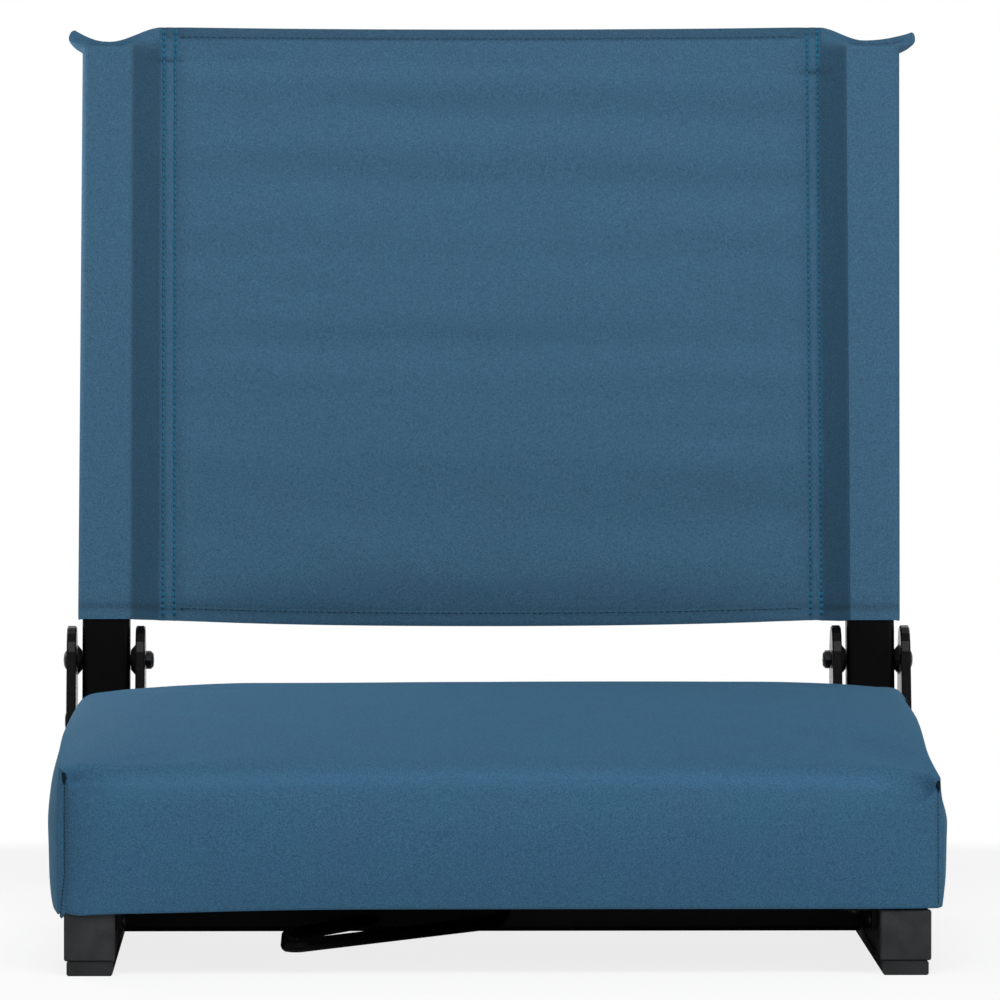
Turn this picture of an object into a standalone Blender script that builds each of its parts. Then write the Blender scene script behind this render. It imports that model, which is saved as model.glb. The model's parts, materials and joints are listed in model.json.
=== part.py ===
"""Folding bleacher seat: a steel seat frame with a padded cushion, a cloth sling back that folds
forward on two hinges, and a bench hook that swings out from under the seat.

Metres, +Z up, front towards -Y. Depths are counted from the front of the rail caps.
Left and right are as seen from the front.
"""

import math

import bmesh
import bpy
from mathutils import Vector

# Clearances between neighbouring pieces, and round a shank on its radius
GAP = 0.0003
BORE_GAP = 0.0003

# Seat frame of square tube on two rubber strips
RAIL_INSET = 0.0133
RAIL_SIZE = 0.025
RAIL_WALL = 0.0015
RAIL_CORNER = 0.0025
CAP_FLANGE = 0.003
CAP_PLUG = 0.012
CAP_EDGE = 0.0008
CAP_CORNER = 0.0012
STRIP_WIDTH = 0.0225
STRIP_HEIGHT = 0.007
STRIP_SETBACK = 0.0008
STRIP_EDGE = 0.0008
CROSSBAR_FRONT = 0.171

# Cushion: the corners are sewn, the sides and the front bulge between them
CUSHION_WIDTH = 0.428
CUSHION_DEPTH = 0.279
CUSHION_FRONT = 0.0
SIDE_BULGE = 0.0105
FRONT_BULGE = 0.0045
CUSHION_EDGE = 0.066
SIDE_EDGE_RISE = 0.0245
SIDE_EDGE_RUN = 0.050
TOP_DRAW = 0.006
CUSHION_CROWN = 0.036
CROWN_SIDE_ROUND = 0.009
CROWN_FRONT_ROUND = 0.055
SIDE_LINES = (0.009, 0.064)
FRONT_LINES = (0.024, 0.080, 0.180)
REAR_LINE = 0.009
SIDE_LEVELS = (0.4, 0.8)
UNDERSIDE_DRAW = 0.003
COVER_CLOTH = 0.0012
COVER_HEM = 0.020
FOAM_EASE = 0.0017
FOAM_DRAW = 0.004
SEAM_CREASE = 0.8
BOARD_THICKNESS = 0.010
BOARD_INSET = 0.0065
BOARD_CORNER = 0.010
DUST_CLOTH = 0.0006
DUST_MARGIN = 0.016
DUST_TAB_GAP = 0.004

# Brackets and screws that hold the board
TAB_DEPTH = 0.034
TAB_LENGTH = 0.018
TAB_REACH = 0.018
TAB_LEAF = 0.0115
TAB_SHEET = 0.0025
TAB_RIVET_DROP = 0.0068
SCREW_SHANK = 0.002
SCREW_HEAD = 0.004
SCREW_HEAD_HEIGHT = 0.0024
SCREW_BITE = 0.008
CROSSBAR_SCREW_X = 0.090
ACCESS_HOLE = 0.0055
RIVET_SHANK = 0.002
RIVET_HEAD = 0.0036
RIVET_HEAD_HEIGHT = 0.0022

# Hinges: each upright turns between two joggled plates that are bolted to the rail
PIVOT_SETBACK = 0.043
PIVOT_HEIGHT = 0.1377
PLATE_THICKNESS = 0.005
PLATE_LOBE = 0.018
PLATE_CUSHION_GAP = 0.004
PLATE_SHOULDER_DROP = 0.052
PLATE_FILLET = 0.010
PLATE_TOE = 0.080
PLATE_FOOT_MARGIN = 0.0015
PLATE_EDGE = 0.0007
JOGGLE_RISE = 0.012
JOGGLE_LENGTH = 0.016
SPACER_LENGTH = 0.003
SPACER_WIDE = 0.0081
SPACER_NARROW = 0.0052
BOLT_SHANK = 0.003
BOLT_HEAD = 0.005
BOLT_HEAD_HEIGHT = 0.0018
NUT_RADIUS = 0.0048
NUT_HEIGHT = 0.0043
NUT_CROWN = 0.0012
PLATE_BOLT_FRONT = 0.066
PLATE_BOLT_REAR = 0.012
BUSH_WALL = 0.0008
STOP_DROP = 0.034
STOP_SLEEVE = 0.005
STOP_PEEN = 0.0042
STOP_PEEN_HEIGHT = 0.0005

# Back: tubes inside the sleeves of the sling, measured from the pivot along the tube
RECLINE = math.radians(9.5)
UPRIGHT_WIDTH = 0.025
UPRIGHT_THICKNESS = 0.020
UPRIGHT_WALL = 0.0015
UPRIGHT_CORNER = 0.003
UPRIGHT_TOP = 0.317
UPRIGHT_TAIL = 0.042
PLUG_FLANGE = 0.002
PLUG_LENGTH = 0.010
SLING_CLOTH = 0.0012
SLING_BOTTOM = 0.0216
SLING_TOP = 0.338
SLING_TOP_DIP = 0.0006
SLING_BOTTOM_DIP = 0.0018
SLING_SAG = 0.004
SLEEVE_WING = 0.0172
SEAM_STRIP = 0.0066
PANEL_SETBACK = 0.0055
SADDLE_DIP = 0.009
EAR_DROP = 0.0035
EAR_REACH = 0.0205

# Bench hook: a bent rod whose stem turns in a bracket on the crossbar
HOOK_X = 0.005
HOOK_REACH = 0.019
ROD_RADIUS = 0.0035
HOOK_CLEARANCE = 0.0105
STEM_BEND = 0.008
HOOK_TIP = (-0.1085, -0.1485)
TIP_BEND = 0.0042
HOOK_HEEL = (-0.1085, -0.079)
HEEL_BEND = 0.030
HOOK_END = (-0.0665, 0.008)
BRACKET_SHEET = 0.003
BRACKET_WIDTH = 0.024
WASHER_RADIUS = 0.007
WASHER_THICKNESS = 0.0014
RETAINER_RADIUS = 0.006
RETAINER_TOP = 0.0048
RETAINER_HEIGHT = 0.003
STEM_PROUD = 0.001

# How finely round and soft forms are divided, and within what distance points are one
TURN_STEPS = 12
HOLE_STEPS = 12
CORNER_STEPS = 3
SLEEVE_STEPS = 2
END_STEPS = 9
BEND_STEPS = 6
ROD_STEPS = 4
PANEL_GRID = (10, 6)
SAME_POINT = 1e-5

# Round heads and nuts from the top down, as shares of radius and height
HEAD_SHAPE = ((0, 1), (0.55, 0.86), (0.9, 0.45))
NUT_SHAPE = ((0, 1), (0.7, 0.92), (1, 0.6), (1, 0))

# Rings up a sleeve: share of the way up the tube, and of the way from there to the sewn top edge
SLEEVE_LEVELS = ((0.0, 0.0), (0.5, 0.0), (1.0, 0.0), (1.0, 0.45), (1.0, 0.8), (1.0, 1.0))
POCKET_OVERRUN = 0.005

# Heights and depths that follow from the sizes above
SIDE_X = CUSHION_WIDTH / 2 - RAIL_INSET
RAIL_BOTTOM = STRIP_HEIGHT + GAP
RAIL_MIDDLE = RAIL_BOTTOM + RAIL_SIZE / 2
RAIL_TOP = RAIL_BOTTOM + RAIL_SIZE
RAIL_INNER_X = SIDE_X - RAIL_SIZE / 2
CUSHION_UNDERSIDE = RAIL_TOP + GAP
BOARD_BOTTOM = CUSHION_UNDERSIDE + COVER_CLOTH + GAP
BOARD_TOP = BOARD_BOTTOM + BOARD_THICKNESS
CUSHION_REAR = CUSHION_FRONT + CUSHION_DEPTH
CUSHION_MIDDLE = (CUSHION_FRONT + CUSHION_REAR) / 2
PIVOT_DEPTH = CUSHION_REAR + PIVOT_SETBACK
RAIL_END = PIVOT_DEPTH + PLATE_LOBE
CROSSBAR_MIDDLE = CROSSBAR_FRONT + RAIL_SIZE / 2
HOOK_DEPTH = CROSSBAR_FRONT - HOOK_REACH
HOOK_HEIGHT = HOOK_CLEARANCE + ROD_RADIUS
WASHER_BOTTOM = HOOK_HEIGHT + STEM_BEND + GAP
BRACKET_BOTTOM = WASHER_BOTTOM + WASHER_THICKNESS + GAP
BRACKET_TOP = BRACKET_BOTTOM + BRACKET_SHEET
STEM_TOP = BRACKET_TOP + GAP + RETAINER_HEIGHT + STEM_PROUD
PLATE_LOW_X = RAIL_SIZE / 2 + GAP
PLATE_HIGH_X = UPRIGHT_WIDTH / 2 + SPACER_LENGTH
BUSH_RADIUS = BOLT_SHANK + BORE_GAP + BUSH_WALL
SLEEVE_SKIN = GAP + SLING_CLOTH
PANEL_EDGE_X = SIDE_X - UPRIGHT_WIDTH / 2 - SLEEVE_WING - SEAM_STRIP
SIDES = {"left": -1, "right": 1}

# Euler turns that lay a piece's own Z along another axis
TO_FRONT = (math.pi / 2, 0, 0)
TO_REAR = (-math.pi / 2, 0, 0)
TO_RIGHT_UPRIGHT = (math.pi / 2, 0, math.pi / 2)
DOWNWARDS = (math.pi, 0, 0)


def along_x(direction):
    """The turn that points a piece's own Z towards +X or -X."""
    return (0, direction * math.pi / 2, 0)


def clear_scene():
    for old in list(bpy.data.objects):
        bpy.data.objects.remove(old, do_unlink=True)


def new_collection(name):
    collection = bpy.data.collections.new(name)
    bpy.context.scene.collection.children.link(collection)
    return collection


def finish(name, colour, roughness, metallic=0.0):
    """A plain material with the colour, roughness and metallic value of one finish."""
    material = bpy.data.materials.new(name)
    material.use_nodes = True
    shader = material.node_tree.nodes["Principled BSDF"]
    shader.inputs["Base Color"].default_value = (*colour, 1.0)
    shader.inputs["Roughness"].default_value = roughness
    shader.inputs["Metallic"].default_value = metallic
    material.diffuse_color = (*colour, 1.0)
    return material


clear_scene()
PARTS = new_collection("folding_bleacher_seat")
CUTTERS = new_collection("cutters")
CUTTERS.hide_render = True

BLACK_PAINT = finish("gloss_black_paint", (0.008, 0.008, 0.009), 0.22, 0.3)
BLACK_STEEL = finish("black_zinc_fastener", (0.012, 0.012, 0.013), 0.35, 0.9)
CAP_PLASTIC = finish("grey_black_plastic", (0.030, 0.031, 0.033), 0.55)
STRIP_RUBBER = finish("black_rubber", (0.022, 0.022, 0.023), 0.80)
TEAL_CLOTH = finish("teal_woven_polyester", (0.052, 0.150, 0.252), 0.85)
DUST_FELT = finish("black_felt", (0.015, 0.015, 0.016), 0.95)
PLYWOOD = finish("birch_plywood", (0.55, 0.38, 0.22), 0.60)
FOAM = finish("pale_foam", (0.75, 0.70, 0.55), 0.95)
NYLON = finish("black_nylon", (0.02, 0.02, 0.021), 0.45)


def add_empty(name, parent, location, turn=(0, 0, 0)):
    empty = bpy.data.objects.new(name, None)
    empty.empty_display_size = 0.03
    empty.location = location
    empty.rotation_euler = turn
    empty.parent = parent
    PARTS.objects.link(empty)
    return empty


SEAT = add_empty("seat_root", None, (0, 0, 0))
BACK = add_empty("back_pivot", SEAT, (0, PIVOT_DEPTH, PIVOT_HEIGHT), (-RECLINE, 0, 0))
HOOK = add_empty("hook_pivot", SEAT, (HOOK_X, HOOK_DEPTH, 0))


def add_part(name, mesh, material, parent, location=(0, 0, 0), turn=(0, 0, 0)):
    part = bpy.data.objects.new(name, mesh)
    part.data.materials.clear()
    part.data.materials.append(material)
    part.location = location
    part.rotation_euler = turn
    part.parent = parent
    PARTS.objects.link(part)
    return part


def mesh_from(name, bm):
    mesh = bpy.data.meshes.new(name)
    bm.to_mesh(mesh)
    bm.free()
    return mesh


def circle(centre, radius, steps=HOLE_STEPS):
    turns = (2 * math.pi * step / steps for step in range(steps))
    return [(centre[0] + radius * math.cos(a), centre[1] + radius * math.sin(a)) for a in turns]


def arc(centre, radius, start, end, steps=CORNER_STEPS):
    """Points round an arc, with its start and end in degrees."""
    angles = (math.radians(start + (end - start) * step / steps) for step in range(steps + 1))
    return [(centre[0] + radius * math.cos(a), centre[1] + radius * math.sin(a)) for a in angles]


def rounded_rectangle(width, height, radius, steps=CORNER_STEPS):
    """The outline of a rectangle with round corners, centred on the origin."""
    points = []
    for quarter, (sx, sy) in enumerate(((1, 1), (-1, 1), (-1, -1), (1, -1))):
        centre = (sx * (width / 2 - radius), sy * (height / 2 - radius))
        points += arc(centre, radius, 90 * quarter, 90 * quarter + 90, steps)
    return points


def extruded(name, loops, length, edge=0.0):
    """A mesh of outlines, the first the outer one and the rest holes, extruded to a length along Z."""
    curve = bpy.data.curves.new(name, "CURVE")
    curve.dimensions = "2D"
    curve.fill_mode = "BOTH"
    curve.extrude = length / 2 - edge
    curve.bevel_depth = edge
    curve.bevel_resolution = 0
    curve.offset = -edge
    for loop in loops:
        spline = curve.splines.new("POLY")
        spline.points.add(len(loop) - 1)
        spline.use_cyclic_u = True
        for point, (x, y) in zip(spline.points, loop):
            point.co = (x, y, 0, 1)
    guide = bpy.data.objects.new(name, curve)
    PARTS.objects.link(guide)
    graph = bpy.context.evaluated_depsgraph_get()
    mesh = bpy.data.meshes.new_from_object(guide.evaluated_get(graph))
    bpy.data.objects.remove(guide)
    bpy.data.curves.remove(curve)
    bm = bmesh.new()
    bm.from_mesh(mesh)
    bpy.data.meshes.remove(mesh)
    bmesh.ops.remove_doubles(bm, verts=bm.verts, dist=SAME_POINT)
    bmesh.ops.recalc_face_normals(bm, faces=bm.faces)
    return mesh_from(name, bm)


def lofted(name, rings, hollow=False):
    """A closed mesh through rings of as many points each.

    A hollow one goes on from its last ring to its first. Otherwise a cap joins each end ring's two halves."""
    bm = bmesh.new()
    rows = [[bm.verts.new(point) for point in ring] for ring in rings]
    following = rows[1:] + rows[:1] if hollow else rows[1:]
    for low, high in zip(rows, following):
        for i in range(len(low)):
            j = (i + 1) % len(low)
            bm.faces.new((low[i], low[j], high[j], high[i]))
    for row in () if hollow else (rows[0], rows[-1]):
        last = len(row) - 1
        for i in range(len(row) // 2 - 1):
            bm.faces.new((row[i], row[i + 1], row[last - i - 1], row[last - i]))
    bmesh.ops.recalc_face_normals(bm, faces=bm.faces)
    return mesh_from(name, bm)


def turned(name, profile, material, parent, location, turn, closed=False):
    """A turned piece: radius and height pairs, listed from the top down its outer side."""
    mesh = bpy.data.meshes.new(name)
    edges = [(i, i + 1) for i in range(len(profile) - 1)]
    if closed:
        edges.append((len(profile) - 1, 0))
    mesh.from_pydata([(radius, 0, height) for radius, height in profile], edges, [])
    part = add_part(name, mesh, material, parent, location, turn)
    screw = part.modifiers.new("turn", "SCREW")
    screw.axis = "Z"
    screw.steps = TURN_STEPS
    screw.render_steps = TURN_STEPS
    screw.use_merge_vertices = True
    screw.merge_threshold = SAME_POINT
    screw.use_smooth_shade = True
    return part


def cut(part, name, cutter_mesh, location, turn=(0, 0, 0), parent=None, operation="DIFFERENCE"):
    """Cuts a part with, or joins it to, a solid that itself stays out of the model."""
    cutter = bpy.data.objects.new(name, cutter_mesh)
    cutter.location = location
    cutter.rotation_euler = turn
    cutter.parent = parent
    cutter.hide_render = True
    cutter.display_type = "WIRE"
    CUTTERS.objects.link(cutter)
    boolean = part.modifiers.new(name, "BOOLEAN")
    boolean.operation = operation
    boolean.solver = "EXACT"
    boolean.object = cutter


def drill(part, name, radius, length, location, turn, parent):
    """A round hole of a length, centred on a place."""
    bm = bmesh.new()
    bmesh.ops.create_cone(
        bm, cap_ends=True, segments=HOLE_STEPS, radius1=radius, radius2=radius, depth=length
    )
    cut(part, name, mesh_from(name, bm), location, turn, parent)


def dome_head(radius, height):
    """Profile of a low round head, from its top to its rim at height 0."""
    return [(radius * across, height * up) for across, up in HEAD_SHAPE] + [(radius, 0)]


def bolt(name, head, head_height, shank, length, material, parent, location, turn):
    """A round-headed bolt whose head sits at its origin, with the shank going down from it."""
    profile = dome_head(head, head_height) + [(shank, 0), (shank, -length), (0, -length)]
    return turned(name, profile, material, parent, location, turn)


def dome_nut(name, parent, location, turn):
    """A low closed nut that stands on its origin."""
    bore = BOLT_SHANK + BORE_GAP
    depth = NUT_HEIGHT - NUT_CROWN
    profile = [(NUT_RADIUS * across, NUT_HEIGHT * up) for across, up in NUT_SHAPE]
    profile += [(bore, 0), (bore, depth), (0, depth)]
    return turned(name, profile, BLACK_STEEL, parent, location, turn)


def ring(name, outer_top, outer_bottom, bore, height, material, parent, location, turn):
    """A washer, sleeve or cone that stands on its origin."""
    profile = [(bore, height), (outer_top, height), (outer_bottom, 0), (bore, 0)]
    return turned(name, profile, material, parent, location, turn, closed=True)


def square_tube(name, size_x, size_y, wall, corner, length):
    outer = rounded_rectangle(size_x, size_y, corner)
    inner = rounded_rectangle(size_x - 2 * wall, size_y - 2 * wall, corner - wall)
    ends = ((outer, -length / 2), (outer, length / 2), (inner, length / 2), (inner, -length / 2))
    return lofted(name, [[(x, y, z) for x, y in loop] for loop, z in ends], hollow=True)


def tube_plug(name, size_x, size_y, wall, corner, flange, flange_corner, plug):
    """A plug with a flange as wide as the tube, seated at height 0, and a body that goes down into it."""
    inner_x = size_x - 2 * (wall + GAP)
    inner_y = size_y - 2 * (wall + GAP)
    inner_corner = corner - wall
    sections = [
        (size_x - 2 * CAP_EDGE, size_y - 2 * CAP_EDGE, flange_corner, flange),
        (size_x, size_y, flange_corner, flange - CAP_EDGE),
        (size_x, size_y, flange_corner, 0),
        (inner_x, inner_y, inner_corner, 0),
        (inner_x, inner_y, inner_corner, -plug),
    ]
    rings = [
        [(x, y, height) for x, y in rounded_rectangle(width, depth, radius)]
        for width, depth, radius, height in sections
    ]
    return lofted(name, rings)


def build_frame():
    """The two rails with their caps and strips, and the crossbar between them."""
    start = CAP_FLANGE + GAP
    end = RAIL_END - CAP_FLANGE - GAP
    length = end - start
    bolt_depths = (PIVOT_DEPTH - PLATE_BOLT_FRONT, PIVOT_DEPTH - PLATE_BOLT_REAR)
    for side, sign in SIDES.items():
        x = sign * SIDE_X
        tube = square_tube("rail", RAIL_SIZE, RAIL_SIZE, RAIL_WALL, RAIL_CORNER, length)
        place = (x, (start + end) / 2, RAIL_MIDDLE)
        rail = add_part(f"seat_rail_{side}", tube, BLACK_PAINT, SEAT, place, TO_FRONT)
        for number, depth in enumerate(bolt_depths):
            name = f"rail_bolt_hole_{side}_{number}"
            drill(rail, name, BOLT_SHANK + BORE_GAP, RAIL_SIZE * 2, (x, depth, RAIL_MIDDLE),
                  along_x(1), SEAT)
        drill(rail, f"rail_rivet_hole_{side}", RIVET_SHANK + BORE_GAP, RAIL_WALL * 4,
              (sign * RAIL_INNER_X, TAB_DEPTH, RAIL_TOP - TAB_RIVET_DROP), along_x(1), SEAT)

        cap = tube_plug("cap", RAIL_SIZE, RAIL_SIZE, RAIL_WALL, RAIL_CORNER, CAP_FLANGE,
                        CAP_CORNER, CAP_PLUG)
        add_part(f"rail_front_cap_{side}", cap, CAP_PLASTIC, SEAT, (x, CAP_FLANGE, RAIL_MIDDLE),
                 TO_FRONT)
        add_part(f"rail_rear_cap_{side}", cap.copy(), CAP_PLASTIC, SEAT,
                 (x, RAIL_END - CAP_FLANGE, RAIL_MIDDLE), TO_REAR)

        strip_length = RAIL_END - 2 * STRIP_SETBACK
        section = rounded_rectangle(STRIP_WIDTH, STRIP_HEIGHT, STRIP_EDGE, 1)
        strip = extruded("strip", [section], strip_length)
        add_part(f"grip_strip_{side}", strip, STRIP_RUBBER, SEAT,
                 (x, RAIL_END / 2, STRIP_HEIGHT / 2), TO_FRONT)

    bar_length = 2 * (RAIL_INNER_X - GAP)
    bar_mesh = square_tube("crossbar", RAIL_SIZE, RAIL_SIZE, RAIL_WALL, RAIL_CORNER, bar_length)
    bar = add_part("rail_crossbar", bar_mesh, BLACK_PAINT, SEAT,
                   (0, CROSSBAR_MIDDLE, RAIL_MIDDLE), along_x(1))
    for side, sign in SIDES.items():
        x = sign * CROSSBAR_SCREW_X
        drill(bar, f"crossbar_screw_hole_{side}", SCREW_SHANK + BORE_GAP, RAIL_SIZE,
              (x, CROSSBAR_MIDDLE, RAIL_TOP), (0, 0, 0), SEAT)
        drill(bar, f"crossbar_access_hole_{side}", ACCESS_HOLE, RAIL_SIZE,
              (x, CROSSBAR_MIDDLE, RAIL_BOTTOM), (0, 0, 0), SEAT)


def plate_outline():
    """The hinge plate seen from the side, about the pivot: a round lobe, a shoulder and a foot."""
    foot_top = RAIL_TOP - PLATE_FOOT_MARGIN - PIVOT_HEIGHT
    foot_bottom = RAIL_BOTTOM + PLATE_FOOT_MARGIN - PIVOT_HEIGHT
    front = -(PIVOT_SETBACK - FRONT_BULGE - PLATE_CUSHION_GAP)
    shoulder = (front, -PLATE_SHOULDER_DROP)
    reach = math.hypot(*shoulder)
    towards_shoulder = math.degrees(math.atan2(shoulder[1], shoulder[0])) % 360
    tangent = towards_shoulder - math.degrees(math.acos(PLATE_LOBE / reach))
    toe = (foot_top - foot_bottom) / 2
    heel = min(PLATE_FILLET, toe)
    points = arc((0, 0), PLATE_LOBE, 0, tangent, END_STEPS)
    points.append(shoulder)
    points += arc((front - PLATE_FILLET, foot_top + PLATE_FILLET), PLATE_FILLET, 0, -90)
    points += arc((toe - PLATE_TOE, foot_top - toe), toe, 90, 270, END_STEPS)
    points += arc((PLATE_LOBE - heel, foot_bottom + heel), heel, 270, 360)
    return points, foot_top


def stop_place():
    """The stop pin's depth and height from the pivot: just in front of the upright's tail."""
    ahead = UPRIGHT_THICKNESS / 2 + STOP_SLEEVE + GAP
    depth = -STOP_DROP * math.sin(RECLINE) - ahead * math.cos(RECLINE)
    height = -STOP_DROP * math.cos(RECLINE) + ahead * math.sin(RECLINE)
    return depth, height


def joggle(mesh, low, high, shift):
    """Sets the plate over sideways by a shift between two heights, by cutting it there and moving its top."""
    bm = bmesh.new()
    bm.from_mesh(mesh)
    for height in (low, high):
        everything = bm.verts[:] + bm.edges[:] + bm.faces[:]
        bmesh.ops.bisect_plane(bm, geom=everything, plane_co=(0, height, 0), plane_no=(0, 1, 0))
    for vert in bm.verts:
        share = min(max((vert.co.y - low) / (high - low), 0), 1)
        vert.co.z += shift * share
    bm.to_mesh(mesh)
    bm.free()


def build_hinges():
    """Both hinges: plates, plate bolts, pivot bolts with spacers, and the stops."""
    outline, foot_top = plate_outline()
    rail_drop = RAIL_MIDDLE - PIVOT_HEIGHT
    hole = BOLT_SHANK + BORE_GAP
    stop_depth, stop_height = stop_place()
    holes = [
        circle((0, 0), hole),
        circle((stop_depth, stop_height), hole),
        circle((-PLATE_BOLT_FRONT, rail_drop), hole),
        circle((-PLATE_BOLT_REAR, rail_drop), hole),
    ]
    joggle_low = foot_top + JOGGLE_RISE
    joggle_high = joggle_low + JOGGLE_LENGTH
    shift = PLATE_HIGH_X - PLATE_LOW_X
    pivot_span = 2 * (PLATE_HIGH_X + PLATE_THICKNESS)
    rail_span = 2 * (PLATE_LOW_X + PLATE_THICKNESS)
    nut_depth = NUT_HEIGHT - NUT_CROWN - GAP
    for side, sign in SIDES.items():
        for layer, outwards in (("outer", sign), ("inner", -sign)):
            mesh = extruded("hinge_plate", [outline] + holes, PLATE_THICKNESS, PLATE_EDGE)
            joggle(mesh, joggle_low, joggle_high, outwards * shift)
            x = sign * SIDE_X + outwards * (PLATE_LOW_X + PLATE_THICKNESS / 2)
            add_part(f"hinge_plate_{side}_{layer}", mesh, BLACK_PAINT, SEAT,
                     (x, PIVOT_DEPTH, PIVOT_HEIGHT), TO_RIGHT_UPRIGHT)
            face = sign * SIDE_X + outwards * (PLATE_HIGH_X - GAP)
            ring(f"pivot_spacer_{side}_{layer}", SPACER_NARROW, SPACER_WIDE, BOLT_SHANK + BORE_GAP,
                 SPACER_LENGTH - 2 * GAP, BLACK_STEEL, SEAT, (face, PIVOT_DEPTH, PIVOT_HEIGHT),
                 along_x(-outwards))

        head = sign * (SIDE_X + PLATE_HIGH_X + PLATE_THICKNESS + GAP)
        tail = sign * (SIDE_X - PLATE_HIGH_X - PLATE_THICKNESS - GAP)
        bolt(f"pivot_bolt_{side}", BOLT_HEAD, BOLT_HEAD_HEIGHT, BOLT_SHANK,
             pivot_span + 2 * GAP + nut_depth, BLACK_STEEL, SEAT, (head, PIVOT_DEPTH, PIVOT_HEIGHT),
             along_x(sign))
        dome_nut(f"pivot_nut_{side}", SEAT, (tail, PIVOT_DEPTH, PIVOT_HEIGHT), along_x(-sign))

        head = sign * (SIDE_X + PLATE_LOW_X + PLATE_THICKNESS + GAP)
        tail = sign * (SIDE_X - PLATE_LOW_X - PLATE_THICKNESS - GAP)
        for place, setback in (("front", PLATE_BOLT_FRONT), ("rear", PLATE_BOLT_REAR)):
            depth = PIVOT_DEPTH - setback
            bolt(f"plate_bolt_{side}_{place}", BOLT_HEAD, BOLT_HEAD_HEIGHT, BOLT_SHANK,
                 rail_span + 2 * GAP + nut_depth, BLACK_STEEL, SEAT, (head, depth, RAIL_MIDDLE),
                 along_x(sign))
            dome_nut(f"plate_nut_{side}_{place}", SEAT, (tail, depth, RAIL_MIDDLE), along_x(-sign))

        stop = (PIVOT_DEPTH + stop_depth, PIVOT_HEIGHT + stop_height)
        build_stop(side, sign, stop, pivot_span)


def build_stop(side, sign, stop, span):
    """A riveted pin across the plates with a sleeve that the upright's tail leans on."""
    outside = span / 2 + GAP
    rim = [(STOP_PEEN, 0), (BOLT_SHANK, 0)]
    far_rim = [(BOLT_SHANK, -2 * outside), (STOP_PEEN, -2 * outside)]
    top = dome_head(STOP_PEEN, STOP_PEEN_HEIGHT)[:-1]
    far = [(radius, -2 * outside - height) for radius, height in reversed(top)]
    turned(f"stop_pin_{side}", top + rim + far_rim + far, BLACK_STEEL, SEAT,
           (sign * (SIDE_X + outside), *stop), along_x(sign))
    length = 2 * (PLATE_HIGH_X - GAP)
    ring(f"stop_sleeve_{side}", STOP_SLEEVE, STOP_SLEEVE, BOLT_SHANK + BORE_GAP, length, NYLON,
         SEAT, (sign * (SIDE_X - length / 2), *stop), along_x(sign))


def build_uprights():
    """The two tubes of the back, with plugs in their ends and bushes for the pivot bolts."""
    top = UPRIGHT_TOP - PLUG_FLANGE - GAP
    bottom = -UPRIGHT_TAIL + PLUG_FLANGE + GAP
    size = (UPRIGHT_WIDTH, UPRIGHT_THICKNESS, UPRIGHT_WALL, UPRIGHT_CORNER)
    for side, sign in SIDES.items():
        x = sign * SIDE_X
        tube = add_part(f"back_upright_{side}", square_tube("upright", *size, top - bottom),
                        BLACK_PAINT, BACK, (x, 0, (top + bottom) / 2))
        drill(tube, f"upright_pivot_hole_{side}", BUSH_RADIUS + BORE_GAP, UPRIGHT_WIDTH * 2,
              (x, 0, 0), along_x(1), BACK)
        plug = tube_plug("plug", *size, PLUG_FLANGE, UPRIGHT_CORNER, PLUG_LENGTH)
        add_part(f"upright_top_plug_{side}", plug, CAP_PLASTIC, BACK, (x, 0, top + GAP))
        add_part(f"upright_tail_plug_{side}", plug.copy(), CAP_PLASTIC, BACK, (x, 0, bottom - GAP),
                 DOWNWARDS)
        ring(f"pivot_bush_{side}", BUSH_RADIUS, BUSH_RADIUS, BOLT_SHANK + BORE_GAP, UPRIGHT_WIDTH,
             NYLON, BACK, (x - UPRIGHT_WIDTH / 2, 0, 0), along_x(1))


def sleeve_section(skin, tip, tip_half):
    """One sleeve in section, as points out from the upright's middle, each marked front or rear.

    Skin is the distance from the tube, and tip is how far the wing runs on past the seam line."""
    half_width = UPRIGHT_WIDTH / 2
    face = UPRIGHT_THICKNESS / 2 + skin
    corner = UPRIGHT_CORNER + skin
    side = half_width + skin
    seam = -(half_width + SLEEVE_WING)
    points = []
    for front in (-1, 1):
        centre = (side - corner, front * (face - corner))
        start, end = (270, 360) if front < 0 else (90, 0)
        run = [(seam - tip, PANEL_SETBACK + front * tip_half), (seam, PANEL_SETBACK + front * tip_half)]
        run += [(-half_width, front * face), (0, front * face)]
        run += arc(centre, corner, start, end, SLEEVE_STEPS)
        points.append([(u, v, front) for u, v in run])
    return points[0] + points[1][::-1]


def sleeve_top(u):
    """Height of the sleeve's sewn top edge: down from the seam to a saddle, then up to the ear."""
    seam = UPRIGHT_WIDTH / 2 + SLEEVE_WING
    if u < 0:
        share = min(-u / seam, 1)
        return SLING_TOP - SADDLE_DIP * (1 - share * share)
    share = min(u / EAR_REACH, 1)
    return SLING_TOP - SADDLE_DIP + (SADDLE_DIP - EAR_DROP) * share * share


def sleeve_rings(sign):
    """Outer rings of one sleeve, round the tube below and pressed flat at its top edge."""
    section = sleeve_section(SLEEVE_SKIN, SEAM_STRIP, SLING_CLOTH)
    side = UPRIGHT_WIDTH / 2 + SLEEVE_SKIN
    flatten_from = UPRIGHT_TOP + GAP
    rings = []
    for rise, flat in SLEEVE_LEVELS:
        ring_points = []
        for u, v, front in section:
            flat_u = u * EAR_REACH / side if u > 0 else u
            middle = PANEL_SETBACK * min(max(-u / (UPRIGHT_WIDTH / 2 + SLEEVE_WING), 0), 1)
            flat_v = middle + front * SLING_CLOTH
            height = SLING_BOTTOM + rise * (flatten_from - SLING_BOTTOM)
            height += flat * (sleeve_top(flat_u) - flatten_from)
            press = flat * flat
            x = SIDE_X + u + (flat_u - u) * press
            ring_points.append((sign * x, v + (flat_v - v) * press, height))
        rings.append(ring_points)
    return rings


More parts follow.
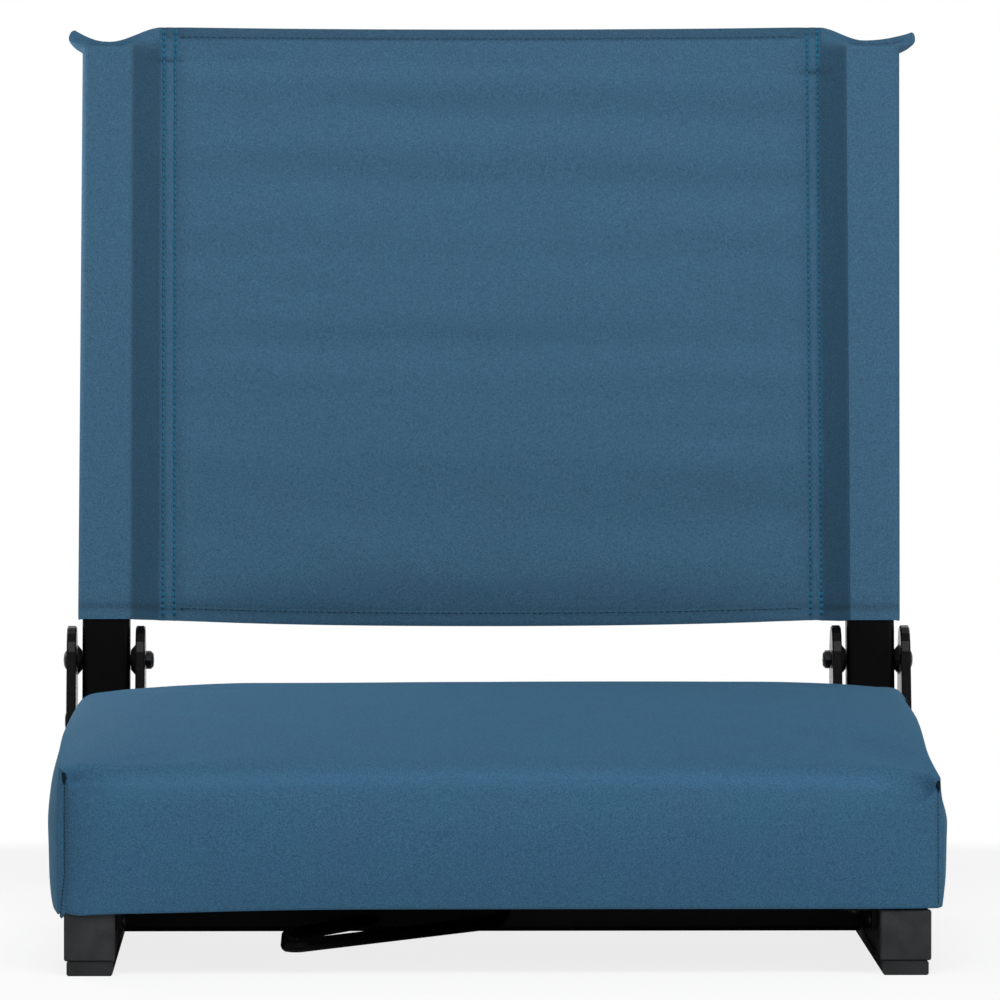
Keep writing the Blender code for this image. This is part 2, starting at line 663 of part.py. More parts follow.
def sleeve_pocket(sign):
    """The room inside one sleeve for its upright, open at the bottom."""
    section = sleeve_section(GAP, 0, GAP)
    heights = (SLING_BOTTOM - POCKET_OVERRUN, UPRIGHT_TOP + GAP)
    return [[(sign * (SIDE_X + u), v, height) for u, v, _ in section] for height in heights]


def panel_mesh(name):
    """The middle panel as an open sheet between the two seam strips, sagging to the rear."""
    bm = bmesh.new()
    bmesh.ops.create_grid(bm, x_segments=PANEL_GRID[0], y_segments=PANEL_GRID[1], size=1)
    edge = PANEL_EDGE_X + SEAM_STRIP / 2
    for vert in bm.verts:
        across, up = vert.co.x, (vert.co.y + 1) / 2
        belly = 1 - across * across
        top = SLING_TOP - GAP - SLING_TOP_DIP * belly
        bottom = SLING_BOTTOM + GAP - SLING_BOTTOM_DIP * belly
        sag = PANEL_SETBACK + SLING_SAG * belly
        vert.co = (across * edge, sag, bottom + up * (top - bottom))
    return mesh_from(name, bm)


def build_sling():
    """The sling: a middle panel joined to a sleeve on each side, hollowed for the uprights."""
    sling = add_part("back_sling", panel_mesh("back_sling"), TEAL_CLOTH, BACK)
    shell = sling.modifiers.new("cloth", "SOLIDIFY")
    shell.thickness = SLING_CLOTH
    shell.offset = 0
    for side, sign in SIDES.items():
        cut(sling, f"sling_sleeve_{side}", lofted("sleeve", sleeve_rings(sign)), (0, 0, 0),
            parent=BACK, operation="UNION")
    for side, sign in SIDES.items():
        cut(sling, f"sling_pocket_{side}", lofted("pocket", sleeve_pocket(sign)), (0, 0, 0),
            parent=BACK)


def cushion_lines():
    """Where the cushion cage has its lines, across and from front to rear, about the cushion's middle."""
    half_width = CUSHION_WIDTH / 2
    half_depth = CUSHION_DEPTH / 2
    right = [half_width] + [half_width - distance for distance in SIDE_LINES]
    across = [-x for x in right] + [0] + right[::-1]
    along = [-half_depth] + [distance - half_depth for distance in FRONT_LINES]
    along += [half_depth - REAR_LINE, half_depth]
    return across, along


def edge_rise(y):
    """How much higher the cover's edge lies than at its front corners, growing towards the rear."""
    return SIDE_EDGE_RISE * (1 - math.exp(-(CUSHION_DEPTH / 2 + y) / SIDE_EDGE_RUN))


def crown_rise(x, y):
    """Height of the top over the front corners: steep at the sides and rear, a long slope at the front."""
    from_side = CUSHION_WIDTH / 2 - abs(x)
    from_front = CUSHION_DEPTH / 2 + y
    from_rear = CUSHION_DEPTH / 2 - y
    full = CUSHION_CROWN * (1 - math.exp(-from_front / CROWN_FRONT_ROUND))
    inside = 1 - math.exp(-from_side / CROWN_SIDE_ROUND)
    inside *= 1 - math.exp(-from_rear / CROWN_SIDE_ROUND)
    return edge_rise(y) + (full - edge_rise(y)) * inside


def stand_out(place, bulge, share):
    """How far the cloth stands out from the line between two corner seams, drawn in at the top and underside."""
    swell = 1 - (2 * share - 1) ** 4
    out = (bulge * swell - TOP_DRAW * share ** 6) * (1 - place ** 4)
    return out - UNDERSIDE_DRAW * (1 - share) ** 4


def cushion_cage(name, inset, bottom, draw, hem):
    """A coarse open cage of the cushion, from the crown over the sides to the underside."""
    across, along = cushion_lines()
    half_width = CUSHION_WIDTH / 2
    half_depth = CUSHION_DEPTH / 2
    edge_height = CUSHION_UNDERSIDE + CUSHION_EDGE - inset
    bm = bmesh.new()
    crease = bm.edges.layers.float.new("crease_edge")
    bmesh.ops.create_grid(bm, x_segments=len(across) - 1, y_segments=len(along) - 1, size=1)
    places = {}
    for vert in bm.verts:
        column = round((vert.co.x + 1) / 2 * (len(across) - 1))
        row = round((vert.co.y + 1) / 2 * (len(along) - 1))
        places[vert] = (across[column], along[row])

    def set_level(verts, drop, turned_in):
        for vert in verts:
            x, y = places[vert]
            top = edge_height + edge_rise(y)
            height = top - drop * (top - bottom)
            share = (height - CUSHION_UNDERSIDE) / (top - CUSHION_UNDERSIDE)
            on_side = abs(x) == half_width
            on_end = abs(y) == half_depth
            out_x = stand_out(y / half_depth, SIDE_BULGE, share) if on_side else 0
            out_y = stand_out(x / half_width, FRONT_BULGE, share) if on_end else 0
            narrowed = 1 - (inset + turned_in) / half_width
            shortened = 1 - (inset + turned_in) / half_depth
            vert.co.x = x * narrowed + math.copysign(1, x) * out_x
            vert.co.y = CUSHION_MIDDLE + y * shortened + math.copysign(1, y) * out_y
            vert.co.z = height

    set_level(bm.verts, 0, 0)
    for vert, place in places.items():
        vert.co.z = edge_height + crown_rise(*place)
    fold = 1 - COVER_CLOTH / (edge_height - bottom)
    levels = [(drop, 0) for drop in SIDE_LEVELS]
    levels += [(fold, draw), (1, draw)]
    if hem:
        levels.append((1, hem))
    rim = [edge for edge in bm.edges if edge.is_boundary]
    for drop, turned_in in levels:
        made = bmesh.ops.extrude_edge_only(bm, edges=rim)["geom"]
        new_verts = [item for item in made if isinstance(item, bmesh.types.BMVert)]
        for vert in new_verts:
            above = min(places, key=lambda old: (old.co - vert.co).length_squared)
            places[vert] = places[above]
        set_level(new_verts, drop, turned_in)
        rim = [edge for edge in made if isinstance(edge, bmesh.types.BMEdge) and edge.is_boundary]
    for edge in bm.edges:
        first, last = (places[vert] for vert in edge.verts)
        if first == last and abs(first[0]) == half_width and abs(first[1]) == half_depth:
            edge[crease] = SEAM_CREASE
    if not hem:
        bmesh.ops.contextual_create(bm, geom=rim)
        for edge in rim:
            edge[crease] = 1.0
    bmesh.ops.recalc_face_normals(bm, faces=bm.faces)
    crest = max(bm.faces, key=lambda face: face.calc_center_median().z)
    if crest.normal.z < 0:
        bmesh.ops.reverse_faces(bm, faces=bm.faces)
    return mesh_from(name, bm)


def soften(part):
    smooth = part.modifiers.new("soften", "SUBSURF")
    smooth.levels = 1
    smooth.render_levels = 1


def build_cushion():
    """Board, foam, cloth cover and dust cover of the seat."""
    cover = add_part("seat_cover", cushion_cage("seat_cover", 0, CUSHION_UNDERSIDE, 0, COVER_HEM),
                     TEAL_CLOTH, SEAT)
    soften(cover)
    shell = cover.modifiers.new("cloth", "SOLIDIFY")
    shell.thickness = COVER_CLOTH
    shell.offset = -1

    foam_inset = COVER_CLOTH + FOAM_EASE
    foam_form = cushion_cage("seat_foam", foam_inset, BOARD_TOP + GAP, FOAM_DRAW, 0)
    foam = add_part("seat_foam", foam_form, FOAM, SEAT)
    soften(foam)

    board_width = CUSHION_WIDTH - 2 * BOARD_INSET
    board_depth = CUSHION_DEPTH - 2 * BOARD_INSET
    hole = SCREW_SHANK + BORE_GAP
    screw_y = TAB_DEPTH - CUSHION_MIDDLE
    bar_y = CROSSBAR_MIDDLE - CUSHION_MIDDLE
    loops = [rounded_rectangle(board_width, board_depth, BOARD_CORNER)]
    for sign in SIDES.values():
        loops.append(circle((sign * tab_screw_x(), screw_y), hole))
        loops.append(circle((sign * CROSSBAR_SCREW_X, bar_y), hole))
    add_part("seat_board", extruded("seat_board", loops, BOARD_THICKNESS), PLYWOOD, SEAT,
             (0, CUSHION_MIDDLE, (BOARD_BOTTOM + BOARD_TOP) / 2))

    dust_width = 2 * (tab_screw_x() - hole - DUST_TAB_GAP)
    dust_depth = CUSHION_DEPTH - 2 * (COVER_HEM + DUST_MARGIN)
    dust = [rounded_rectangle(dust_width, dust_depth, BOARD_CORNER)]
    dust += [circle((sign * CROSSBAR_SCREW_X, bar_y), hole) for sign in SIDES.values()]
    add_part("dust_cover", extruded("dust_cover", dust, DUST_CLOTH), DUST_FELT, SEAT,
             (0, CUSHION_MIDDLE, BOARD_BOTTOM - GAP - DUST_CLOTH / 2))


def tab_screw_x():
    return RAIL_INNER_X - GAP - (TAB_REACH + TAB_SHEET) / 2


def build_board_fixings():
    """Angle tabs at the front with a rivet and a screw each, and two screws up through the crossbar."""
    for side, sign in SIDES.items():
        profile = [(0, 0), (TAB_REACH, 0), (TAB_REACH, -TAB_SHEET), (TAB_SHEET, -TAB_SHEET)]
        profile += [(TAB_SHEET, -TAB_LEAF), (0, -TAB_LEAF)]
        outline = [(-sign * x, z) for x, z in profile]
        face = sign * (RAIL_INNER_X - GAP)
        tab = add_part(f"board_tab_{side}", extruded("board_tab", [outline], TAB_LENGTH), BLACK_PAINT,
                       SEAT, (face, TAB_DEPTH, RAIL_TOP), TO_FRONT)
        screw_x = sign * tab_screw_x()
        under_tab = RAIL_TOP - TAB_SHEET - GAP
        drill(tab, f"tab_screw_hole_{side}", SCREW_SHANK + BORE_GAP, TAB_SHEET * 3,
              (screw_x, TAB_DEPTH, RAIL_TOP - TAB_SHEET / 2), (0, 0, 0), SEAT)
        rivet_height = RAIL_TOP - TAB_RIVET_DROP
        drill(tab, f"tab_rivet_hole_{side}", RIVET_SHANK + BORE_GAP, TAB_SHEET * 3,
              (face - sign * TAB_SHEET / 2, TAB_DEPTH, rivet_height), along_x(1), SEAT)
        bolt(f"tab_screw_{side}", SCREW_HEAD, SCREW_HEAD_HEIGHT, SCREW_SHANK,
             BOARD_BOTTOM + SCREW_BITE - under_tab, BLACK_STEEL, SEAT,
             (screw_x, TAB_DEPTH, under_tab), DOWNWARDS)

        rivet_face = face - sign * (TAB_SHEET + GAP)
        rivet_length = TAB_SHEET + 2 * GAP + RAIL_WALL + RIVET_SHANK
        bolt(f"tab_rivet_{side}", RIVET_HEAD, RIVET_HEAD_HEIGHT, RIVET_SHANK, rivet_length,
             BLACK_STEEL, SEAT, (rivet_face, TAB_DEPTH, rivet_height), along_x(-sign))

        under_wall = RAIL_TOP - RAIL_WALL - GAP
        bolt(f"crossbar_screw_{side}", SCREW_HEAD, SCREW_HEAD_HEIGHT, SCREW_SHANK,
             BOARD_BOTTOM + SCREW_BITE - under_wall, BLACK_STEEL, SEAT,
             (sign * CROSSBAR_SCREW_X, CROSSBAR_MIDDLE, under_wall), DOWNWARDS)


def bent_path(points, bends, steps):
    """A path through points with each inner corner rounded to its own bend radius."""
    path = [points[0]]
    for before, corner, after, radius in zip(points, points[1:], points[2:], bends):
        arriving = (corner - before).normalized()
        leaving = (after - corner).normalized()
        turn = arriving.angle(leaving)
        start = corner - arriving * radius * math.tan(turn / 2)
        inwards = (leaving - arriving * arriving.dot(leaving)).normalized()
        centre = start + inwards * radius
        for step in range(steps + 1):
            angle = turn * step / steps
            path.append(centre - inwards * radius * math.cos(angle) + arriving * radius * math.sin(angle))
    path.append(points[-1])
    return path


def build_hook():
    """The bent rod, and the bracket, washer and push-on retainer that hold its stem."""
    corners = [Vector((0, 0, STEM_TOP)), Vector((0, 0, HOOK_HEIGHT))]
    corners += [Vector((x, y, HOOK_HEIGHT)) for x, y in (HOOK_TIP, HOOK_HEEL, HOOK_END)]
    path = bent_path(corners, (STEM_BEND, TIP_BEND, HEEL_BEND), BEND_STEPS)
    rod = bpy.data.curves.new("bench_hook", "CURVE")
    rod.dimensions = "3D"
    rod.bevel_depth = ROD_RADIUS
    rod.bevel_resolution = ROD_STEPS
    rod.use_fill_caps = True
    spline = rod.splines.new("POLY")
    spline.points.add(len(path) - 1)
    for point, place in zip(spline.points, path):
        point.co = (*place, 1)
    add_part("bench_hook", rod, BLACK_PAINT, HOOK)

    half = BRACKET_WIDTH / 2
    weld = HOOK_REACH - GAP
    outline = [(half, weld), (-half, weld)] + arc((0, 0), half, 180, 360, END_STEPS)
    bore = ROD_RADIUS + BORE_GAP
    bracket = extruded("hook_bracket", [outline, circle((0, 0), bore)], BRACKET_SHEET)
    add_part("hook_bracket", bracket, BLACK_PAINT, SEAT,
             (HOOK_X, HOOK_DEPTH, (BRACKET_BOTTOM + BRACKET_TOP) / 2))
    ring("hook_washer", WASHER_RADIUS, WASHER_RADIUS, bore, WASHER_THICKNESS, NYLON, HOOK,
         (0, 0, WASHER_BOTTOM), (0, 0, 0))
    ring("hook_retainer", RETAINER_TOP, RETAINER_RADIUS, bore, RETAINER_HEIGHT, BLACK_STEEL,
         HOOK, (0, 0, BRACKET_TOP + GAP), (0, 0, 0))


def centre_on_origin():
    """Moves the whole seat so that the middle of its footprint lies at the origin."""
    bpy.context.view_layer.update()
    graph = bpy.context.evaluated_depsgraph_get()
    depths = []
    for part in PARTS.objects:
        if part.type == "EMPTY":
            continue
        solid = part.evaluated_get(graph)
        mesh = solid.to_mesh()
        depths += [(solid.matrix_world @ vert.co).y for vert in mesh.vertices]
        solid.to_mesh_clear()
    SEAT.location.y = -(min(depths) + max(depths)) / 2


build_frame()
build_hinges()
build_uprights()
build_sling()
build_cushion()
build_board_fixings()
build_hook()
centre_on_origin()
bpy.context.view_layer.update()
print("back pivot", [round(value, 5) for value in BACK.matrix_world.translation])
print("hook pivot", [round(value, 5) for value in HOOK.matrix_world.translation])
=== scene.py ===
import json
import math
import bpy
from mathutils import Matrix, Vector, noise


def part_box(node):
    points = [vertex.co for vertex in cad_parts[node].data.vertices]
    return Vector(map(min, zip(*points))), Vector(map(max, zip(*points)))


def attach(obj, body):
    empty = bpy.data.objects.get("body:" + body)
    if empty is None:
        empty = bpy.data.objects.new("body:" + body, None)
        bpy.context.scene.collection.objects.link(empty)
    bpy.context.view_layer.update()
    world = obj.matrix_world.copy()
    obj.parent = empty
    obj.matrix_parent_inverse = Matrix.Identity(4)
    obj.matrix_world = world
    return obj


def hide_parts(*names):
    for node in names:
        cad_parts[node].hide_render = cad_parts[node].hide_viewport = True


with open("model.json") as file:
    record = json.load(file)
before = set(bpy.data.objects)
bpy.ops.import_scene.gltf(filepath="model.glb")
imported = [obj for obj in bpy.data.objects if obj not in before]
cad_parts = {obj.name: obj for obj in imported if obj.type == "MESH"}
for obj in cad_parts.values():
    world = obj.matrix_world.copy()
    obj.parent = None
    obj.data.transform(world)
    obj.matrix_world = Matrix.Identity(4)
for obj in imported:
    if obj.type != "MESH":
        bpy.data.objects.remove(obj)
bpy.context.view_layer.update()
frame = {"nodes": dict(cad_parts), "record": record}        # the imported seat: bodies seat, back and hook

print("stage: frame loaded,", len(frame["nodes"]), "nodes")

# the hinge line of the back, and the way its tubes lean
backJoint = next(j for j in frame["record"]["behaviour"]["joints"] if j["name"] == "back_fold")
pivot = Vector(backJoint["pos_m"])
recline = math.radians(9.5)
backTurn = Matrix.Rotation(-recline, 3, "X")
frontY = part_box("rail_front_cap_left")[0][1]     # front plane of the seat
sides = ("left", "right")


def hexLinear(hexColour):
    channels = [int(hexColour[i:i + 2], 16) / 255 for i in (1, 3, 5)]
    linear = [c / 12.92 if c <= 0.04045 else ((c + 0.055) / 1.055) ** 2.4 for c in channels]
    return (*linear, 1.0)


def addNode(tree, kind, settings=None, links=None):
    node = tree.nodes.new(kind)
    for key, value in (settings or {}).items():
        if isinstance(key, int) or key in node.inputs:
            node.inputs[key].default_value = value
        else:
            setattr(node, key, value)
    for key, source in (links or {}).items():
        tree.links.new(source, node.inputs[key])
    return node


def newMaterial(name, colour, settings):
    material = bpy.data.materials.new(name)
    material.use_nodes = True
    shader = material.node_tree.nodes["Principled BSDF"]
    shader.inputs["Base Color"].default_value = hexLinear(colour)
    for key, value in settings.items():
        shader.inputs[key].default_value = value
    return material, material.node_tree, shader


def dress(material, *names):
    for name in names:
        node = frame["nodes"][name]
        node.data.materials.clear()
        node.data.materials.append(material)


def withSides(*patterns):
    return [pattern.format(side) for pattern in patterns for side in sides]


def backPoint(x, y, z):
    return pivot + backTurn @ Vector((x, y, z))


def clamped(value):
    return min(max(value, 0), 1)


def smoothStep(low, high, value):
    share = clamped((value - low) / (high - low))
    return share * share * (3 - 2 * share)


def fallsAt(place, soft, value):
    return smoothStep(place + soft, place - soft, value)


def bell(value, width):
    return math.exp(-(value / width) ** 2)


def risen(run, length):
    return 1 - math.exp(-run / length)


def sideOf(x):
    return 1 if x > 0 else -1


def waver(x, y, perX, perY, seed):
    return noise.noise(Vector((x * perX, y * perY, seed)))


# materials

# polyester canvas, woven: a soft even face with a fine heather grain, teal at grazing angles
clothLook = {"colour": "#3d617c", "light": "#4a7391", "dark": "#30516b", "cool": "#3b667c", "warm": "#40627b",
             "weaveMm": 1.3, "weave": 0.04, "weaveRelief": 0.2, "heatherMm": 0.38, "mottleMm": 13, "mottle": 0.30,
             "bump": 0.22, "bumpMm": 0.4, "fuzz": 0.10, "fuzzTint": "#4fa0b8"}
# the cover's cloth is a little deeper than the sling's
coverLook = clothLook | {"colour": "#345b78", "light": "#406c8d", "dark": "#284b66", "cool": "#336178",
                         "warm": "#375b77"}


def mathNode(tree, operation, *values):
    # each value is a number or another node's output
    node = addNode(tree, "ShaderNodeMath", {"operation": operation})
    for socket, value in zip(node.inputs, values):
        if isinstance(value, float):
            socket.default_value = value
        else:
            tree.links.new(value, socket)
    return node.outputs[0]


def noiseNode(tree, place, sizeMm, detail, **more):
    settings = {"Scale": 1000 / sizeMm, "Detail": detail, **more}
    return addNode(tree, "ShaderNodeTexNoise", settings, {"Vector": place}).outputs["Fac"]


def colourRamp(tree, source, *stops):
    ramp = addNode(tree, "ShaderNodeValToRGB", links={0: source})
    for element, (colour, position) in zip(ramp.color_ramp.elements, stops):
        element.color = hexLinear(colour)
        element.position = position
    return ramp.outputs["Color"]


def addBump(tree, shader, height, strength, depthMm):
    settings = {"Strength": strength, "Distance": depthMm / 1000}
    bump = addNode(tree, "ShaderNodeBump", settings, {"Height": height})
    tree.links.new(bump.outputs["Normal"], shader.inputs["Normal"])


def wovenCloth(name, look):
    material, tree, shader = newMaterial(name, look["colour"], {
        "Roughness": 0.85, "Specular IOR Level": 0.18, "Sheen Weight": look["fuzz"],
        "Sheen Roughness": 0.45, "Sheen Tint": hexLinear(look["fuzzTint"])})
    place = addNode(tree, "ShaderNodeTexCoord").outputs
    spread = addNode(tree, "ShaderNodeSeparateXYZ", links={0: place["UV"]}).outputs
    # the cloth's map is in metres; real threads of 0.5 mm are drawn coarser so that they show
    turns = 2 * math.pi / (look["weaveMm"] / 1000)
    waves = (mathNode(tree, "SINE", mathNode(tree, "MULTIPLY", spread[axis], turns)) for axis in "XY")
    weave = mathNode(tree, "MULTIPLY", *waves)
    heather = noiseNode(tree, place["Object"], 2 * look["heatherMm"], 2.0, Roughness=0.65)
    mottle = noiseNode(tree, place["Object"], 2 * look["mottleMm"], 3.0)
    threads = mathNode(tree, "MULTIPLY_ADD", weave, look["weave"], heather)
    grain = colourRamp(tree, threads, (look["dark"], 0.35), (look["light"], 0.67))
    drift = colourRamp(tree, mottle, (look["cool"], 0.35), (look["warm"], 0.68))
    both = addNode(tree, "ShaderNodeMix", {"data_type": "RGBA", 0: look["mottle"]}, {6: grain, 7: drift})
    # the colour is scaled by a painted shading attribute: painted shade in hems and folds of more than one layer,
    # which let no light through, in stitch rows, tucks and slanting cloth, and a painted highlight along the
    # cushion's front edge
    paintedShading = addNode(tree, "ShaderNodeAttribute", {"attribute_name": "paintedShading"}).outputs["Fac"]
    paintedShadingColour = addNode(tree, "ShaderNodeVectorMath", {"operation": "SCALE"}, {0: both.outputs[2], "Scale": paintedShading})
    tree.links.new(paintedShadingColour.outputs["Vector"], shader.inputs["Base Color"])
    relief = mathNode(tree, "MULTIPLY_ADD", weave, look["weaveRelief"], heather)
    addBump(tree, shader, relief, look["bump"], look["bumpMm"])
    return material


def noisyFinish(name, colour, tint, grainMm, bumpMm, rough, specular=0.5, metallic=0.0, sheen=0.0):
    # a finish whose gloss and surface vary a little at the size of its grain, and its colour more widely
    material, tree, shader = newMaterial(name, colour, {
        "Specular IOR Level": specular, "Metallic": metallic, "Sheen Weight": sheen})
    place = addNode(tree, "ShaderNodeTexCoord").outputs["Object"]
    grain = noiseNode(tree, place, grainMm, 3.0)
    spread = {"From Min": 0.3, "From Max": 0.7, "To Min": rough[0], "To Max": rough[1]}
    gloss = addNode(tree, "ShaderNodeMapRange", spread, {"Value": grain})
    tree.links.new(gloss.outputs["Result"], shader.inputs["Roughness"])
    if tint:
        wide = noiseNode(tree, place, grainMm * 12, 5.0)
        tree.links.new(colourRamp(tree, wide, (colour, 0.35), (tint, 0.75)), shader.inputs["Base Color"])
    addBump(tree, shader, grain, 1.0, bumpMm)
    return material


clothMaterial = wovenCloth("wovenPolyesterCanvas", clothLook)
coverMaterial = wovenCloth("coverPolyesterCanvas", coverLook)
# spun polyester thread, more teal and shinier than the cloth; deeper in the hems and at the corners
threadMaterial = noisyFinish("polyesterThread", "#125a79", "#1a6b8b", 0.6, 0.02, (0.5, 0.7), specular=0.3)
hemThread = noisyFinish("hemPolyesterThread", "#294a5f", "#2f5369", 0.6, 0.02, (0.6, 0.8), specular=0.2)
darkThread = noisyFinish("darkPolyesterThread", "#04161e", "#08222c", 0.6, 0.02, (0.5, 0.7), specular=0.1)
# stoved enamel on steel tube: deep black with a faint orange peel and a low clear gloss
enamel = noisyFinish("stovedBlackEnamel", "#060607", "#0a0a0b", 2.2, 0.012, (0.20, 0.34), specular=0.03)
# the same enamel on pressed plate: glossier, with bright edges
plateEnamel = noisyFinish("plateBlackEnamel", "#070708", "#0c0c0d", 1.8, 0.012, (0.16, 0.30), specular=0.06)
# the seat's frame enamel is drawn a shade greyer: painted light, standing in for the front light that doesn't
# reach the crossbar under the cushion
frameEnamelPaintedLight = noisyFinish("paintedLightBlackEnamel", "#262627", "#2c2c2d", 2.2, 0.012, (0.26, 0.42), specular=0.06)
# moulded polypropylene end caps: spark-eroded texture, dull dark grey
capPlastic = noisyFinish("mouldedPolypropylene", "#1e1f21", "#2f3032", 0.9, 0.03, (0.55, 0.72), specular=0.25)
# extruded rubber strip: matt with dust in its pores
stripRubber = noisyFinish("extrudedRubber", "#232425", "#2e2f30", 1.4, 0.05, (0.8, 0.95), specular=0.2)
# black zinc plate on turned steel: satin with a soft metallic edge
zincSteel = noisyFinish("blackZincSteel", "#1c1d1f", "#2a2b2e", 0.8, 0.01, (0.28, 0.45), metallic=0.85)
# black nylon washers and sleeves: smooth, slightly waxy
nylon = noisyFinish("blackNylon", "#161618", "#1b1b1d", 1.2, 0.01, (0.35, 0.5), specular=0.4)
# spun-bonded felt: a black nap that hides its weave
feltCloth = noisyFinish("spunBondedFelt", "#141415", "#1f1f21", 1.5, 0.15, (0.9, 1.0), specular=0.1, sheen=0.2)
# drawn wire of the staples: bright, with a fine grain
stapleWire = noisyFinish("drawnStapleWire", "#8b8d90", None, 0.5, 0.005, (0.25, 0.4), metallic=1.0)
plyLook = {"colour": "#c49a68", "pale": "#d3ad7b", "dark": "#a87c4c", "grainMm": 3.5, "drawnOut": (0.08, 1, 1)}


def plywoodBoard(look):
    # rotary-cut birch: long grain along the width, with wavy darker bands
    material, tree, shader = newMaterial("rotaryCutBirch", look["colour"], {
        "Roughness": 0.62, "Specular IOR Level": 0.3})
    place = addNode(tree, "ShaderNodeTexCoord").outputs["Object"]
    stretch = addNode(tree, "ShaderNodeMapping", {"Scale": look["drawnOut"]}, {"Vector": place})
    grain = noiseNode(tree, stretch.outputs["Vector"], 2 * look["grainMm"], 5.0, Distortion=0.6)
    bands = colourRamp(tree, grain, (look["dark"], 0.3), (look["pale"], 0.65))
    tree.links.new(bands, shader.inputs["Base Color"])
    addBump(tree, shader, grain, 0.4, 0.2)
    return material


dress(enamel, "bench_hook", *withSides("back_upright_{}"))
# painted light: the rails and crossbar get the greyer enamel
dress(frameEnamelPaintedLight, "rail_crossbar", *withSides("seat_rail_{}"))
dress(plateEnamel, "hook_bracket", *withSides("hinge_plate_{}_outer", "hinge_plate_{}_inner", "board_tab_{}"))
dress(plywoodBoard(plyLook), "seat_board")
dress(capPlastic, *withSides("rail_front_cap_{}", "rail_rear_cap_{}", "upright_top_plug_{}",
                             "upright_tail_plug_{}"))
dress(stripRubber, *withSides("grip_strip_{}"))
dress(zincSteel, "hook_retainer", *withSides(
    "plate_bolt_{}_front", "plate_bolt_{}_rear", "plate_nut_{}_front", "plate_nut_{}_rear", "pivot_bolt_{}",
    "pivot_nut_{}", "stop_pin_{}", "tab_rivet_{}", "tab_screw_{}", "crossbar_screw_{}"))
dress(nylon, "hook_washer", *withSides("pivot_spacer_{}_outer", "pivot_spacer_{}_inner", "pivot_bush_{}",
                                       "stop_sleeve_{}"))
print("stage: finishes on the frame")


# mesh helpers


def newObject(name, data):
    made = bpy.data.objects.new(name, data)
    bpy.context.scene.collection.objects.link(made)
    return made


def meshPiece(name, points, faces, material, uvs=None):
    mesh = bpy.data.meshes.new(name)
    mesh.from_pydata([tuple(point) for point in points], [], faces)
    mesh.materials.append(material)
    if uvs:
        layer = mesh.uv_layers.new(name="cloth")
        for loop in mesh.loops:
            layer.data[loop.index].uv = uvs[loop.vertex_index]
    return newObject(name, mesh)


def gridFaces(width, height):
    # four-cornered faces between points that lie row by row
    return [[j * width + i, j * width + i + 1, (j + 1) * width + i + 1, (j + 1) * width + i]
            for j in range(height - 1) for i in range(width - 1)]


def choose(piece):
    bpy.ops.object.select_all(action="DESELECT")
    piece.select_set(True)
    bpy.context.view_layer.objects.active = piece


def applied(piece, kind, settings):
    choose(piece)
    modifier = piece.modifiers.new(kind.lower(), kind)
    for key, value in settings.items():
        setattr(modifier, key, value)
    bpy.ops.object.modifier_apply(modifier=modifier.name)


def smoothed(piece, angle):
    choose(piece)
    bpy.ops.object.shade_smooth_by_angle(angle=math.radians(angle))


# stores the painted shading per point: below 1 is painted shade, above 1 painted highlight
def setTone(piece, paintedShadings):
    layer = piece.data.attributes.new("paintedShading", "FLOAT", "POINT")
    for vertex, paintedShading in enumerate(paintedShadings):
        layer.data[vertex].value = paintedShading


def threadPiece(name, runs, radius, material):
    # thread as short bevelled runs in one curve, made a mesh
    curve = bpy.data.curves.new(name, "CURVE")
    curve.dimensions = "3D"
    curve.bevel_depth = radius
    curve.bevel_resolution = 1
    curve.use_fill_caps = True
    for run in runs:
        spline = curve.splines.new("POLY")
        spline.points.add(len(run) - 1)
        for point, (place, share) in zip(spline.points, run):
            point.co = (*place, 1)
            point.radius = share
    curve.materials.append(material)
    choose(newObject(name, curve))
    bpy.ops.object.convert(target="MESH")
    piece = bpy.context.active_object
    smoothed(piece, 60)
    return piece


def stitchRun(start, end, out, sink, proud):
    # one stitch: its ends go into the cloth and its middle lies on it
    shares = ((0.0, -sink, 0.7), (0.14, proud * 0.5, 1.0), (0.5, proud, 1.0), (0.86, proud * 0.5, 1.0),
              (1.0, -sink, 0.7))
    return [(start.lerp(end, along) + out * rise, width) for along, rise, width in shares]


# seat cushion: a cover pulled over foam, sewn at the four corners and turned under the board
# what differs from left to right is given by side
cushion = {"cornerX": {-1: 0.2150, 1: 0.2186}, "depth": 0.279, "underside": 0.0327, "wallEnd": 0.0012,
           "hem": 0.020, "cornerHeight": {-1: 0.1018, 1: 0.0965}, "sideHeight": {-1: 0.1175, 1: 0.1205},
           "sideRun": 0.060, "rearTaper": {-1: 0.0006, 1: 0.0012}, "frontBulge": 0.0062, "frontEdge": 0.0945,
           "softEdge": 0.004, "softRun": 0.0035, "crown": 0.1302, "frontRun": 0.100, "frontBoxiness": 13,
           "boxRun": 0.06, "boxiness": {-1: 52, 1: 60}, "rearBoxiness": 24, "fallFrom": 0.165, "fallEnd": 0.004,
           "fall": {-1: 0.0040, 1: 0.0012}, "sideSquare": 8, "frontSquare": 14, "across": 18, "along": 11,
           "cloth": 0.0012, "puffFrames": 20, "moveCap": 0.0015}
